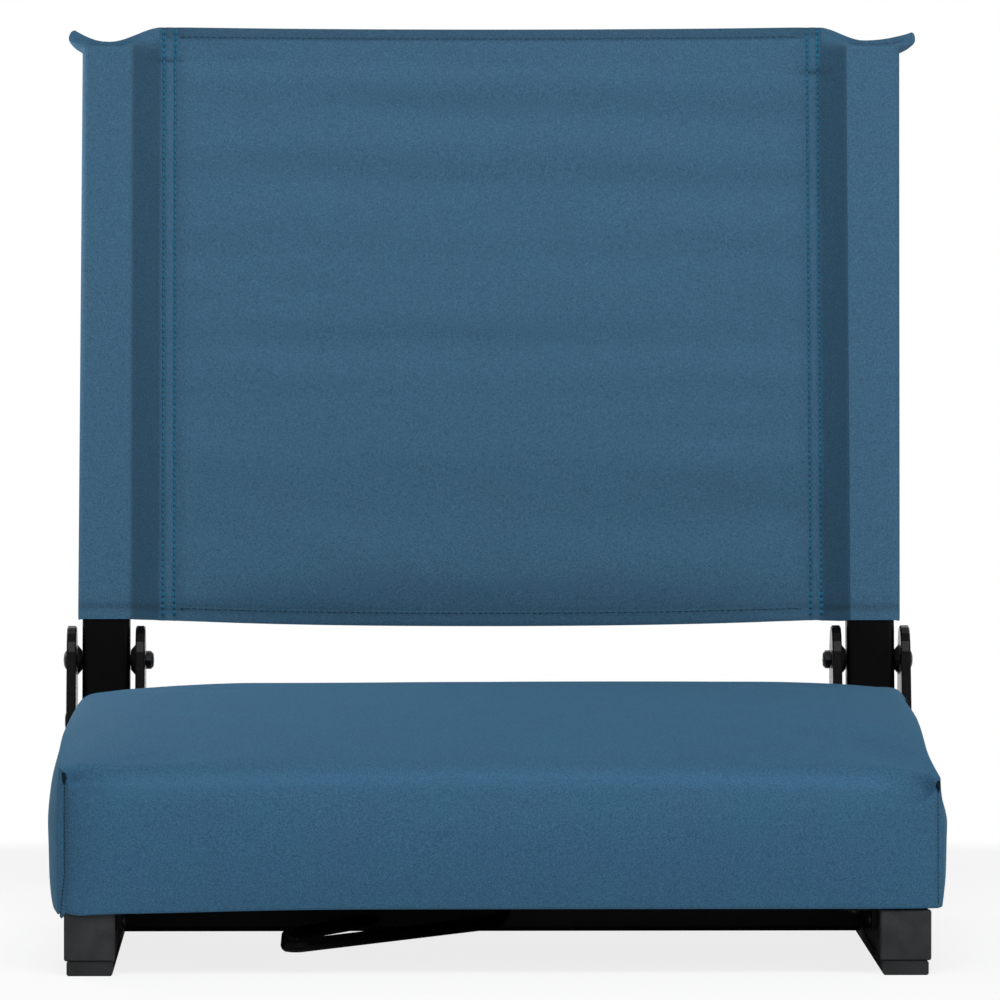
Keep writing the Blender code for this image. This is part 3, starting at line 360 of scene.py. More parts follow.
# by height: half the width at the middle of each side, and the front's share of its bulge
sideForm = {-1: [(0.0326, 0.2199), (0.038, 0.2212), (0.046, 0.2220), (0.060, 0.2222), (0.075, 0.2228),
                 (0.083, 0.2220), (0.0896, 0.2211), (0.0957, 0.2200), (0.102, 0.2182), (0.108, 0.2168),
                 (0.112, 0.2168), (0.1146, 0.2164), (0.118, 0.2147), (0.1255, 0.2110)],
            1: [(0.0326, 0.2197), (0.038, 0.2212), (0.046, 0.2225), (0.060, 0.2230), (0.075, 0.2234),
                (0.083, 0.2205), (0.0896, 0.2177), (0.0957, 0.2150), (0.102, 0.2140), (0.108, 0.2133),
                (0.114, 0.2136), (0.120, 0.2141), (0.1255, 0.2140)]}
frontForm = [(0.0326, 0.35), (0.038, 0.52), (0.046, 0.74), (0.054, 0.90), (0.062, 0.98), (0.070, 1.0),
             (0.078, 0.95), (0.084, 0.86), (0.0895, 0.70), (0.095, 0.42), (0.100, 0.28), (0.112, 0.22)]
# shares of the wall's height, closer together at the top and at the underside
wallShares = [0.03, 0.08, 0.14, 0.21, 0.28, 0.35, 0.42, 0.49, 0.56, 0.63, 0.70, 0.77, 0.84, 0.90, 0.95, 0.98,
              1.0]
# where the cloth turns under the board: height above the underside, and how far in
underTurn = [(0.0006, 0.0003), (0, 0.0016), (0, 0.007), (0, 0.013), (0, cushion["hem"])]


def edgeSpread(half, steps):
    # places from the middle to the edge, closer together near the edge
    near = [0, 0.002, 0.0045, 0.0075, 0.011, 0.015, 0.020, 0.026, 0.033, 0.041]
    inner = half - near[-1]
    return [inner * k / steps for k in range(steps)] + [half - value for value in reversed(near)]


def formAt(steps, height):
    for (low, start), (high, end) in zip(steps, steps[1:]):
        if height <= high:
            return start + (end - start) * max(height - low, 0) / (high - low)
    return steps[-1][1]


def cushionTop(x, depth):
    # the top falls to the front in a long slope, and off to both sides before their edges
    size, sign = cushion, sideOf(x)
    edgeX, corner = size["cornerX"][sign], size["cornerHeight"][sign]
    share = clamped(depth / size["depth"])
    run = share * size["depth"]
    back = risen(run, size["sideRun"])
    edge = corner + (size["sideHeight"][sign] - corner) * back
    soft = size["softEdge"] * risen(run, size["softRun"])
    slope = size["crown"] - size["frontEdge"] - size["softEdge"]
    full = size["frontEdge"] + soft
    full += slope * risen(run, size["frontRun"]) / risen(size["depth"], size["frontRun"])
    out = max(abs(x) - size["fallFrom"], 0) / (edgeX - size["fallEnd"] - size["fallFrom"])
    full -= size["fall"][sign] * out * out * back
    if share > 0.5:
        full = edge + (full - edge) * math.sqrt(max(1 - share ** size["rearBoxiness"], 0))
    boxiness = size["frontBoxiness"]
    boxiness += (size["boxiness"][sign] - boxiness) * smoothStep(0, size["boxRun"], run)
    across = math.sqrt(max(1 - min(abs(x) / edgeX, 1) ** boxiness, 0))
    return edge + (full - edge) * across


def cushionWall(x, depth, height, onSide, onEnd):
    # a point of the side walls: x and depth lie on the line between the corner seams
    size, sign = cushion, sideOf(x)
    cornerX = size["cornerX"][sign]
    along = 2 * depth / size["depth"] - 1
    x *= 1 - size["rearTaper"][sign] / cornerX * smoothStep(0, 1, along)
    if onSide:
        x += sign * (formAt(sideForm[sign], height) - cornerX) * (1 - along ** size["sideSquare"])
    if onEnd:
        swell = size["frontBulge"] * formAt(frontForm, height)
        depth += math.copysign(swell * (1 - (abs(x) / cornerX) ** size["frontSquare"]), along)
    return x, depth


def seamGroup(sign, end):
    return "seam%d%d" % (sign, end)


def buildCushion():
    size = cushion
    halfD = size["depth"] / 2
    leftPlaces, rightPlaces = (edgeSpread(size["cornerX"][sign], size["across"]) for sign in (-1, 1))
    columns = [-x for x in reversed(leftPlaces[1:])] + rightPlaces
    rearPlaces = edgeSpread(halfD, size["along"])
    rows = [halfD - y for y in reversed(rearPlaces[1:])] + [halfD + y for y in rearPlaces]
    lastColumn, lastRow = len(columns) - 1, len(rows) - 1
    points, uvs, index = [], [], {}

    def addPoint(key, place, uv):
        index[key] = len(points)
        points.append(Vector((place[0], frontY + place[1], place[2])))
        uvs.append(uv)

    for j, depth in enumerate(rows):
        for i, x in enumerate(columns):
            height = cushionTop(x, depth)
            edgeX = columns[-1] if x > 0 else columns[0]
            outX = cushionWall(edgeX, depth, height, True, False)[0] / edgeX
            edgeD = cushionWall(x, 0 if depth < halfD else size["depth"], height, False, True)[1]
            outD = (halfD - edgeD if depth < halfD else edgeD - halfD) / halfD
            addPoint((i, j, 0), (x * outX, halfD + (depth - halfD) * outD, height), (x, depth))
    faces = gridFaces(len(columns), len(rows))

    rim = [(i, 0) for i in range(lastColumn)] + [(lastColumn, j) for j in range(lastRow)]
    rim += [(i, lastRow) for i in range(lastColumn, 0, -1)] + [(0, j) for j in range(lastRow, 0, -1)]
    bottom, wallSteps = size["underside"], len(wallShares)
    for i, j in rim:
        onSide, onEnd = i in (0, lastColumn), j in (0, lastRow)
        x, depth = columns[i], rows[j]
        top = points[index[(i, j, 0)]].z
        levels = [(top + (bottom + size["wallEnd"] - top) * share, 0) for share in wallShares]
        levels += [(bottom + rise, turnIn) for rise, turnIn in underTurn]
        for k, (height, turnIn) in enumerate(levels, 1):
            wallX, wallD = cushionWall(x, depth, height, onSide, onEnd)
            wallX *= 1 - turnIn / abs(columns[0])
            wallD = halfD + (wallD - halfD) * (1 - turnIn / halfD)
            addPoint((i, j, k), (wallX, wallD, height), (depth if onSide else x, height + turnIn))
    for (i, j), (m, n) in zip(rim, rim[1:] + rim[:1]):
        for k in range(wallSteps + len(underTurn)):
            faces.append([index[key] for key in ((i, j, k), (i, j, k + 1), (m, n, k + 1), (m, n, k))])
    piece = meshPiece("seatCushion", points, faces, coverMaterial, uvs)
    choose(piece)
    bpy.ops.object.mode_set(mode="EDIT")
    bpy.ops.mesh.select_all(action="SELECT")
    bpy.ops.mesh.normals_make_consistent(inside=False)
    bpy.ops.object.mode_set(mode="OBJECT")
    held = piece.vertex_groups.new(name="held")
    for (i, j, k), number in index.items():
        corner = i in (0, lastColumn) and j in (0, lastRow)
        if k >= wallSteps or corner:
            held.add([number], 1.0, "REPLACE")
        if corner and k <= wallSteps:
            seamName = seamGroup(-1 if i == 0 else 1, 0 if j == 0 else 1)
            seam = piece.vertex_groups.get(seamName) or piece.vertex_groups.new(name=seamName)
            seam.add([number], 1.0, "REPLACE")
    return piece


# the cover's run as cloth: light and stiff, under air pressure, held at its hem and corners
puff = {"quality": 6, "mass": 0.3, "tension_stiffness": 40, "compression_stiffness": 40, "shear_stiffness": 10,
        "bending_stiffness": 2.0, "use_pressure": True, "uniform_pressure_force": 1.0,
        "vertex_group_mass": "held"}


def puffCushion(piece):
    # a short run rounds the pulled cover; no point may move far
    start = [vertex.co.copy() for vertex in piece.data.vertices]
    choose(piece)
    cloth = piece.modifiers.new("puff", "CLOTH")
    for key, value in puff.items():
        setattr(cloth.settings, key, value)
    cloth.settings.effector_weights.gravity = 0
    scene = bpy.context.scene
    for step in range(cushion["puffFrames"]):
        scene.frame_set(step + 1)
    bpy.ops.object.modifier_apply(modifier=cloth.name)
    scene.frame_set(1)
    most, cap = 0, cushion["moveCap"]
    for vertex, old in zip(piece.data.vertices, start):
        move = vertex.co - old
        most = max(most, move.length)
        if move.length > cap:
            vertex.co = old + move * (cap / move.length)
    print("stage: cushion puffed, largest move %.1f mm" % (most * 1000))


# what sewing does to the cover: a groove down each corner seam, a hang of the lower front corners over the
# rails' caps, and a hollow that fans out from the tack at the top of each seam; pairs say from where to where
diagonal = 0.7
sewn = {"groove": 0.0028, "grooveWidth": 0.0026, "grooveTop": 0.003, "hang": {-1: 0.0050, 1: 0.0004},
        "hangFalls": ((0.45, 0.014), (0.55, 0.085)), "hangBack": 2.5, "hangWall": (0.0010, -0.0015),
        "hangEdge": (0.0035, 0.0008), "hangHeights": (0.052, 0.0335), "hangOut": 0.1, "hangFills": 0.8,
        "hollow": 0.0100, "hollowRun": 0.052, "hollowSoft": 1.3, "hollowBelow": 0.002, "tilt": (0.75, 0.65),
        "reach": 0.0025, "widens": ((0.0075, 0.0, 0.015), (0.003, 0.015, 0.08)), "atTack": 0.12,
        "tackRun": 0.009, "offWall": -0.0012}


def sewnShift(place):
    size, depthFull = sewn, cushion["depth"]
    depth, sign = place.y - frontY, sideOf(place.x)
    end, inward = (0, 1) if depth < depthFull / 2 else (depthFull, -1)
    inX = cushion["cornerX"][sign] - (cushion["rearTaper"][sign] if end else 0) - abs(place.x)
    inDepth = (depth - end) * inward
    away = math.hypot(inX, inDepth)
    hang = 0
    if end == 0:
        near = max(inX, 0) + size["hangBack"] * max(inDepth, 0)
        onWall = max(smoothStep(*size["hangWall"], min(inX, inDepth)), smoothStep(*size["hangEdge"], away))
        hang = sum(share * bell(near, width) for share, width in size["hangFalls"])
        hang *= size["hang"][sign] * smoothStep(*size["hangHeights"], place.z) * onWall
    corner = cushion["cornerHeight"][sign]
    low = fallsAt(corner, size["grooveTop"], place.z)
    pull = size["groove"] * bell(away, size["grooveWidth"]) * low
    outward = Vector((sign * diagonal, -inward * diagonal, 0))
    move = outward * (size["hangOut"] * hang - pull * (1 - size["hangFills"] * hang / size["hang"][-1]))
    move.z -= hang
    # the hollow is cut into the front edge, wider and shallower away from the corner
    run = max(inX, 0)
    reach = size["reach"] + sum(more * smoothStep(near, far, run) for more, near, far in size["widens"])
    up, back = size["tilt"]
    offset = ((place.z - corner + size["hollowBelow"]) * up + inDepth * back) / reach
    if abs(offset) < 1:
        grown = size["atTack"] + (1 - size["atTack"]) * smoothStep(0, size["tackRun"], run)
        fan = math.exp(-run / size["hollowRun"]) * grown * smoothStep(size["offWall"], 0, inX)
        inDown = Vector((0, inward * diagonal, -diagonal))
        move += inDown * size["hollow"] * fan * (1 - offset * offset) ** size["hollowSoft"]
    return move


# painted highlight along the cover's front edge where it turns down, and painted shade beside the corner seams,
# deeper on the left
coverPaintedLight = {"ridgeHighlight": 0.19, "height": 0.0975, "arch": 0.0035, "archHalf": 0.2, "width": 0.0042,
             "ridgeDepth": (0.016, 0.008), "ridgeEnds": (0.205, 0.185), "seam": {-1: 0.14, 1: 0.03},
             "seamWidth": 0.012, "seamDepth": (0.004, 0.001), "seamTop": (0.100, 0.092)}


def cushionTone(place):
    look, depth, sign = coverPaintedLight, place.y - frontY, sideOf(place.x)
    above = place.z - look["height"] + look["arch"] * (place.x / look["archHalf"]) ** 2
    ridgeHighlight = bell(above, look["width"]) * smoothStep(*look["ridgeDepth"], depth)
    ridgeHighlight *= smoothStep(*look["ridgeEnds"], abs(place.x))
    beside = bell(cushion["cornerX"][sign] - abs(place.x), look["seamWidth"])
    beside *= smoothStep(*look["seamDepth"], depth) * smoothStep(*look["seamTop"], place.z)
    return 1 + look["ridgeHighlight"] * ridgeHighlight - look["seam"][sign] * beside


cornerThread = {"pitch": 0.0018, "length": 0.0012, "thread": 0.00022, "sink": 0.0003, "proud": 0.00014,
                "tack": 0.0056, "tackFrom": 0.0002, "tackThread": 0.00034, "tackSink": 0.0004,
                "tackProud": 0.0005, "strands": (-0.0005, 0, 0.0005), "wraps": 8, "wrapHalf": 0.0013,
                "wrapProud": 0.0008, "wrapStart": 1.6, "wrapMore": 2, "fullWeight": 0.95}


def cornerSeam(piece, sign, end):
    # points of the cushion down one corner seam, from the tack to the underside
    number = piece.vertex_groups[seamGroup(sign, end)].index
    full = cornerThread["fullWeight"]
    line = [vertex.co.copy() for vertex in piece.data.vertices
            if any(member.group == number and member.weight > full for member in vertex.groups)]
    return sorted(line, key=lambda point: -point.z)


def cushionStitches(piece):
    # fine thread down the four corner seams, with a wrapped tack at the top of each
    size = cornerThread
    fine, tacks = [], []
    for sign, end in ((-1, 0), (-1, 1), (1, 0), (1, 1)):
        line = cornerSeam(piece, sign, end)
        out = Vector((sign * diagonal, diagonal if end else -diagonal, 0))
        sideways = Vector((out.y, -out.x, 0)).normalized()
        distance = [0.0]
        for a, b in zip(line, line[1:]):
            distance.append(distance[-1] + (b - a).length)

        def along(value):
            for a, b, start, stop in zip(line, line[1:], distance, distance[1:]):
                if value <= stop:
                    return a.lerp(b, (value - start) / max(stop - start, 1e-6))
            return line[-1]

        place = size["tack"]
        while place + size["length"] < distance[-1]:
            ends = along(place), along(place + size["length"])
            fine.append(stitchRun(*ends, out, size["sink"], size["proud"]))
            place += size["pitch"]
        for aside in size["strands"]:
            ends = (along(value) + sideways * aside for value in (size["tackFrom"], size["tack"]))
            tacks.append(stitchRun(*ends, out, size["tackSink"], size["tackProud"]))
        for k in range(size["wraps"]):
            middle = along(size["tack"] * (k + 0.5) / size["wraps"])
            turn = math.pi * (k + size["wrapStart"]) / (size["wraps"] + size["wrapMore"])
            half = sideways * size["wrapHalf"] * math.sin(turn)
            tacks.append(stitchRun(middle - half, middle + half, out, size["tackSink"], size["wrapProud"]))
    return (threadPiece("cornerStitches", fine, size["thread"], darkThread),
            threadPiece("cornerTacks", tacks, size["tackThread"], darkThread))


seatCushion = buildCushion()
puffCushion(seatCushion)
applied(seatCushion, "SUBSURF", {"levels": 1})
for vertex in seatCushion.data.vertices:
    vertex.co += sewnShift(vertex.co.copy())
seatCushion.data.update()
# painted highlight and painted shade on the cover
setTone(seatCushion, [cushionTone(vertex.co) for vertex in seatCushion.data.vertices])
cornerStitches, cornerTacks = cushionStitches(seatCushion)
for thread in (cornerStitches, cornerTacks):
    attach(thread, "seat")
applied(seatCushion, "SOLIDIFY", {"thickness": cushion["cloth"], "offset": -1})
smoothed(seatCushion, 60)
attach(seatCushion, "seat")
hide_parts("seat_cover", "seat_foam")
print("stage: cushion,", len(seatCushion.data.polygons), "faces")


# back sling: one cloth that runs round both uprights and is sewn back on itself in two strips
# heights are along the uprights from the hinge line, depths are behind their middle
sling = {"sideX": 0.2007, "tubeWidth": 0.025, "tubeThickness": 0.020, "tubeCorner": 0.003, "ease": 0.0009,
         "outerEase": 0.0019, "easeLow": {-1: 0.0019, 1: 0.0026}, "easeHigh": {-1: 0.0004, 1: 0.0049},
         "wing": {-1: 0.0156, 1: 0.0115}, "strip": {-1: 0.0084, 1: 0.0079}, "setback": 0.0062, "overlap": 0.0013,
         "bottom": 0.0216, "top": 0.3385, "topDip": 0.0004, "bottomDip": 0.0018, "dropRun": (0.172, 0.190),
         "drop": {-1: 0.0012, 1: 0.0021}, "rearLift": 0.0028, "lifted": {"edge": 0.5, "rear": 1.0, "flap": 0.35},
         "sag": 0.004, "slantDip": 0.0006, "edgePlaces": (-0.004, 0.0, 0.004), "saddle": {-1: 0.0090, 1: 0.0082},
         "saddleRun": 1.06, "earFrom": 0.3250, "earDrop": {-1: 0.0030, 1: 0.0040}, "earCurve": 1.9,
         "earReach": {-1: 0.0206, 1: 0.0262}, "earSpread": 2.2, "rim": 0.0036, "topRows": (0.80, 0.97),
         "tipRound": {-1: (0.0044, 0.0030), 1: (0.0026, 0.0017)}, "frontShift": {-1: 0.0006, 1: 0.0022},
         "cloth": 0.0010, "topHem": 0.0060, "lowHem": 0.0070, "hemCloth": 0.0019, "tuck": 0.0060,
         "tuckRun": 0.034, "lean": 0.0010, "wrinkle": 0.0021, "onStrip": 0.4, "edgeRun": 0.012,
         "pull": {-1: (1.0, 0.11), 1: (0.5, 0.08)}, "pullFolds": 0.8, "pullUp": 48, "pullAcross": 14,
         "fineFolds": 0.45, "atEdge": 0.2, "plyHalf": 0.55, "topSoft": 0.0006, "lowSoft": 0.0003,
         "thinEdge": 0.75, "thinRun": 0.0015, "bandDepth": 0.0010, "bandTilt": 0.012, "bandWander": 0.005,
         "bandFade": (0.02, 0.01), "bandVaries": 0.7,
         "bands": (0.0667, 0.0962, 0.1200, 0.1445, 0.1632, 0.1782, 0.2088, 0.2233, 0.2463, 0.2613, 0.2838, 0.2999,
                   0.3200)}
# noise in the folds: its turns per metre across and up, and a seed
foldWaves = {"broad": (2.6, 27, 3.1), "fine": (5.0, 60, 8.4), "pulled": (7.0, 1, 5.7), "wander": (7.0, 9.0, 1.7),
             "band": (8.0, 1.9, 4.4)}
panelSteps, stripSteps, slantSteps, faceSteps, bendSteps = 26, 16, 9, 8, 6


def slingSeam(sign):
    return sling["sideX"] - sling["tubeWidth"] / 2 - sling["wing"][sign]


def slingPath(sign):
    # half of the cloth in section, from the middle outwards: x, y, which part it belongs to
    size = sling
    half, face = size["tubeWidth"] / 2, size["tubeThickness"] / 2 + size["ease"]
    corner = size["tubeCorner"] + size["ease"]
    outer = half + size["outerEase"]
    seam, strip = slingSeam(sign), size["strip"][sign]
    stripInner = seam - strip
    setback, backY = size["setback"], size["setback"] + size["overlap"]
    inner = size["sideX"] - half
    frontInner = inner + size["frontShift"][sign]
    bendX = size["sideX"] + outer - corner

    def slant(k, tubeX, tubeY, start):
        share = k / slantSteps
        return seam + (tubeX - seam) * share, start + (tubeY - start) * share

    def bend(k, ahead):
        turn = math.radians(ahead * (90 - 90 * k / bendSteps))
        return bendX + corner * math.cos(turn), ahead * (face - corner) + corner * math.sin(turn)

    panel = [stripInner * k / panelSteps for k in range(panelSteps)]
    path = [(x, setback + size["sag"] * (1 - (x / stripInner) ** 2), "panel") for x in panel]
    onStrip = [stripInner + strip * k / stripSteps for k in range(stripSteps + 1)]
    path += [(x, setback, "strip") for x in onStrip]
    for k in range(1, slantSteps):
        x, y = slant(k, frontInner, -face, setback)
        path.append((x, y + size["slantDip"] * math.sin(math.pi * k / slantSteps), "slant"))
    reach, rearReach = inner - frontInner + half + outer - corner, half + outer - corner
    path += [(frontInner + reach * k / faceSteps, -face, "front") for k in range(faceSteps + 1)]
    path += [(*bend(k, -1), "front") for k in range(1, bendSteps)]
    path += [(size["sideX"] + outer, y, "edge") for y in size["edgePlaces"]]
    path += [(*bend(k, 1), "rear") for k in range(bendSteps - 1, 0, -1)]
    path += [(inner + rearReach * k / faceSteps, face, "rear") for k in range(faceSteps, -1, -1)]
    path += [(*slant(k, inner, face, backY), "rear") for k in range(slantSteps - 1, 0, -1)]
    return path + [(x, backY, "flap") for x in reversed(onStrip)]


def slingTop(x, sign):
    # the top edge: level over the panel, down to a saddle over the tube, up to the ear
    size, seam = sling, slingSeam(sign)
    if x <= seam:
        return size["top"] - size["topDip"] * (1 - (x / seam) ** 2)
    out, saddle = x - size["sideX"], size["saddle"][sign]
    if out < 0:
        share = min(-out / (size["sideX"] - seam), 1)
        full = smoothStep(0, size["saddleRun"], 1)
        return size["top"] - saddle * (1 - smoothStep(0, size["saddleRun"], share) / full)
    share = min(out / size["earReach"][sign], 1)
    return size["top"] - saddle + (saddle - size["earDrop"][sign]) * share ** size["earCurve"]


def slingBottom(x, sign):
    size = sling
    hollow = size["bottomDip"] * max(1 - (x / slingSeam(sign)) ** 2, 0)
    return size["bottom"] - hollow - size["drop"][sign] * smoothStep(*size["dropRun"], x)


def slingBands(x, z):
    # level folds: the heights alternate between where a fold catches the light and where it turns from it
    size, knots = sling, sling["bands"]
    height = z + size["bandTilt"] * x + size["bandWander"] * waver(x, z, *foldWaves["wander"])
    before, after = size["bandFade"]
    fade = smoothStep(knots[0] - before, knots[0] + after, height)
    fade *= smoothStep(knots[-1], knots[-1] - after, height)
    for number, (low, high) in enumerate(zip(knots, knots[1:])):
        if height <= high:
            turn = math.pi * (number + (height - low) / (high - low))
            strength = 1 + size["bandVaries"] * waver(x, number, *foldWaves["band"])
            return size["bandDepth"] * fade * strength * math.sin(turn)
    return 0


def slingWrinkle(x, z):
    # soft folds drawn across the panel by the pull of the sleeves, the stronger the nearer to a strip
    size, waves = sling, foldWaves
    near = sum(share * math.exp((sign * x - slingSeam(sign)) / run)
               for sign, (share, run) in size["pull"].items())
    folds = waver(x, z, *waves["broad"]) + size["fineFolds"] * waver(x, z, *waves["fine"])
    slanting = z * size["pullUp"] + x * size["pullAcross"]
    folds += near * size["pullFolds"] * waver(x, slanting, *waves["pulled"])
    fade = smoothStep(0, size["edgeRun"], z - size["bottom"]) * smoothStep(0, size["edgeRun"], size["top"] - z)
    return (size["wrinkle"] * folds + slingBands(x, z)) * (size["atEdge"] + (1 - size["atEdge"]) * fade)


def slingCurl(x, z):
    # the free lower edge turns back under the panel, and the upper edge leans back a little
    size, sign = sling, sideOf(x)
    across = max(1 - (x / (slingSeam(sign) - size["strip"][sign])) ** 4, 0)
    low = max(1 - (z - size["bottom"]) / size["tuckRun"], 0)
    high = max(1 - (size["top"] - z) / size["tuckRun"], 0)
    return across * (size["tuck"] * low * low + size["lean"] * high * high)


stitchRows = {"places": {-1: (0.1654, 0.1714), 1: (0.1700, 0.1757)}, "pitch": 0.0032, "length": 0.0026,
              "thread": 0.00058, "sink": 0.0006, "proud": 0.00016, "groove": 0.0007, "width": 0.0012,
              "doubled": 0.013, "aside": 0.0007, "crossing": 0.6, "ends": 0.0012,
              "tacks": {-1: 0.0183, 1: 0.0247}, "tackOut": 0.003, "tackHalf": 0.010, "tackWidth": 0.0011,
              "tackDepth": 0.0011, "hemThread": 0.00030, "hemEnds": 0.002, "topLine": 0.0050, "lowLine": 0.0066}
# painted shade: how much darker the hems, the fold above the lower hem, the stitch rows and the tucks are drawn,
# the hems for the light a single layer lets through; and painted shade on the slanting cloth, which faces away
# from the light, deeper on the left
slingPaintedShade = {"topHem": 0.24, "fold": {"panel": 0.22, "strip": 0.20, "slant": 0.30, "front": 0.26},
             "foldWidth": 0.0023, "row": 0.18, "tuck": {"strip": 0.22, "slant": 0.16},
             "shade": {-1: 0.32, 1: 0.17}}


def rowShare(x):
    # 1 on a stitch row of the strips, fading out beside it
    return sum(bell(abs(x) - row, stitchRows["width"]) for row in stitchRows["places"][sideOf(x)])


def slingTuck(x, z):
    # 1 along the short tuck that crosses each strip below the top and runs out into the slanting cloth
    rows, sign = stitchRows, sideOf(x)
    out = abs(x) - sum(rows["places"][sign]) / 2 - rows["tackOut"]
    across = math.exp(-(out / rows["tackHalf"]) ** 4)
    return across * bell(z - sling["top"] + rows["tacks"][sign], rows["tackWidth"])


def slingGroove(x, z):
    # the stitch rows draw the strip in, and a short tuck crosses it below the top
    return rowShare(x) * stitchRows["groove"] + stitchRows["tackDepth"] * slingTuck(x, z)


# heights of the rows: close at the hems, at the tucks and where the sleeves are pressed flat
slingRows = {"hem": (0, 0.0004, 0.0011, 0.0022, 0.0034, 0.0044, 0.0052, 0.0058, 0.0064, 0.0070, 0.0077,
                     0.0086, 0.0098), "pressed": (0.0112, 0.0127, 0.0142),
             "tack": (-0.0018, -0.0009, 0, 0.0009, 0.0018), "below": 0.030, "even": 56}


def slingLevels():
    rows, low, high = slingRows, sling["bottom"], sling["top"]
    levels = [low + value for value in rows["hem"]]
    levels += [high - value for value in rows["hem"] + rows["pressed"]]
    levels += [high - tack + value for tack in stitchRows["tacks"].values() for value in rows["tack"]]
    start, end, count = low + rows["hem"][-1], high - rows["below"], rows["even"]
    levels += [start + (end - start) * (k + 1) / count for k in range(count)]
    return sorted(set(round(level, 5) for level in levels))


def buildSling():
    size, look = sling, slingPaintedShade
    path = [(-x, y, part) for x, y, part in reversed(slingPath(-1)[1:])] + slingPath(1)
    lengths = [0.0]
    for (xa, ya, _), (xb, yb, _) in zip(path, path[1:]):
        lengths.append(lengths[-1] + math.hypot(xb - xa, yb - ya))
    levels = slingLevels()
    sideX, outer = size["sideX"], size["tubeWidth"] / 2 + size["outerEase"]
    points, uvs, paintedShadings, thickness = [], [], [], []
    for level in levels:
        rise = (level - size["bottom"]) / (size["top"] - size["bottom"])
        for (x, y, part), length in zip(path, lengths):
            sign, out = sideOf(x), abs(x) - sideX
            wide = sideX + out * size["earReach"][sign] / outer if out > 0 else abs(x)
            top, seam = slingTop(wide, sign), slingSeam(sign)
            bottom = slingBottom(abs(x), sign) + size["rearLift"] * size["lifted"].get(part, 0)
            # rows keep their distance from the nearer edge, so that the hems stay even
            z = level + (bottom - size["bottom"]) * (1 - rise)
            z += (top - size["top"]) * smoothStep(*size["topRows"], rise)
            # above the tube the sleeve is pressed flat and spreads to the ear, whose tip is rounded
            grown = clamped((z - size["earFrom"]) / (top - size["rim"] - size["earFrom"]))
            press, spread = smoothStep(0, 1, grown), 1 - (1 - grown) ** size["earSpread"]
            tipHigh, tipWide = size["tipRound"][sign]
            inTip = clamped((z - top + tipHigh) / tipHigh)
            beside = smoothStep(0, outer, out)
            rounded = tipWide * (1 - math.sqrt(1 - inTip * inTip)) * beside
            middle = size["setback"] * clamped((sideX - abs(x)) / (sideX - seam))
            ply = size["cloth"] * size["plyHalf"]
            flatY = {"slant": middle - ply, "front": middle - ply, "rear": middle + ply, "edge": 0.0}.get(part, y)
            eased = size["easeLow"][sign] + (size["easeHigh"][sign] - size["easeLow"][sign]) * rise
            looser = (eased - size["outerEase"]) * beside
            newX = abs(x) + (wide - abs(x)) * spread + looser * (1 - spread) - rounded
            newY = y + (flatY - y) * press
            if part == "panel":
                newY += slingWrinkle(x, z) + slingCurl(x, z)
            if part in ("strip", "flap"):
                newY += slingWrinkle(x, z) * size["onStrip"]
            if part == "strip":
                newY += slingGroove(x, z)
            points.append(backPoint(math.copysign(newX, x), newY, z))
            uvs.append((length, z))
            topHem = lowHem = 0
            if part in ("panel", "strip"):
                topHem = fallsAt(size["topHem"], size["topSoft"], top - z)
            if part == "panel":
                lowHem = fallsAt(size["lowHem"], size["lowSoft"], z - bottom)
            # painted shade: the top hem, the fold above the lower hem, the slanting cloth, the stitch rows and
            # the tucks are drawn darker
            fold = bell(z - bottom - size["lowHem"], look["foldWidth"]) * look["fold"].get(part, 0)
            shade = look["shade"][sign] * (1 - press) if part == "slant" else 0
            rowShade = look["row"] * rowShare(x) if part == "strip" else 0
            tuck = slingTuck(x, z) * look["tuck"].get(part, 0)
            paintedShadings.append((1 - look["topHem"] * topHem) * (1 - fold) * (1 - shade) * (1 - rowShade) * (1 - tuck))
            # the cloth is double in the hems and thins out at its edges
            full = smoothStep(0, size["thinRun"], min(z - bottom, top - z))
            edged = size["thinEdge"] + (1 - size["thinEdge"]) * full
            inHem = max(topHem, lowHem) if part == "panel" else 0
            thick = size["cloth"] + (size["hemCloth"] - size["cloth"]) * inHem
            thickness.append(thick * edged / size["hemCloth"])
    piece = meshPiece("backSling", points, gridFaces(len(path), len(levels)), clothMaterial, uvs)
    setTone(piece, paintedShadings)
    layers = piece.vertex_groups.new(name="layers")
    for number, share in enumerate(thickness):
        layers.add([number], share, "REPLACE")
    return piece, lengths[-1]


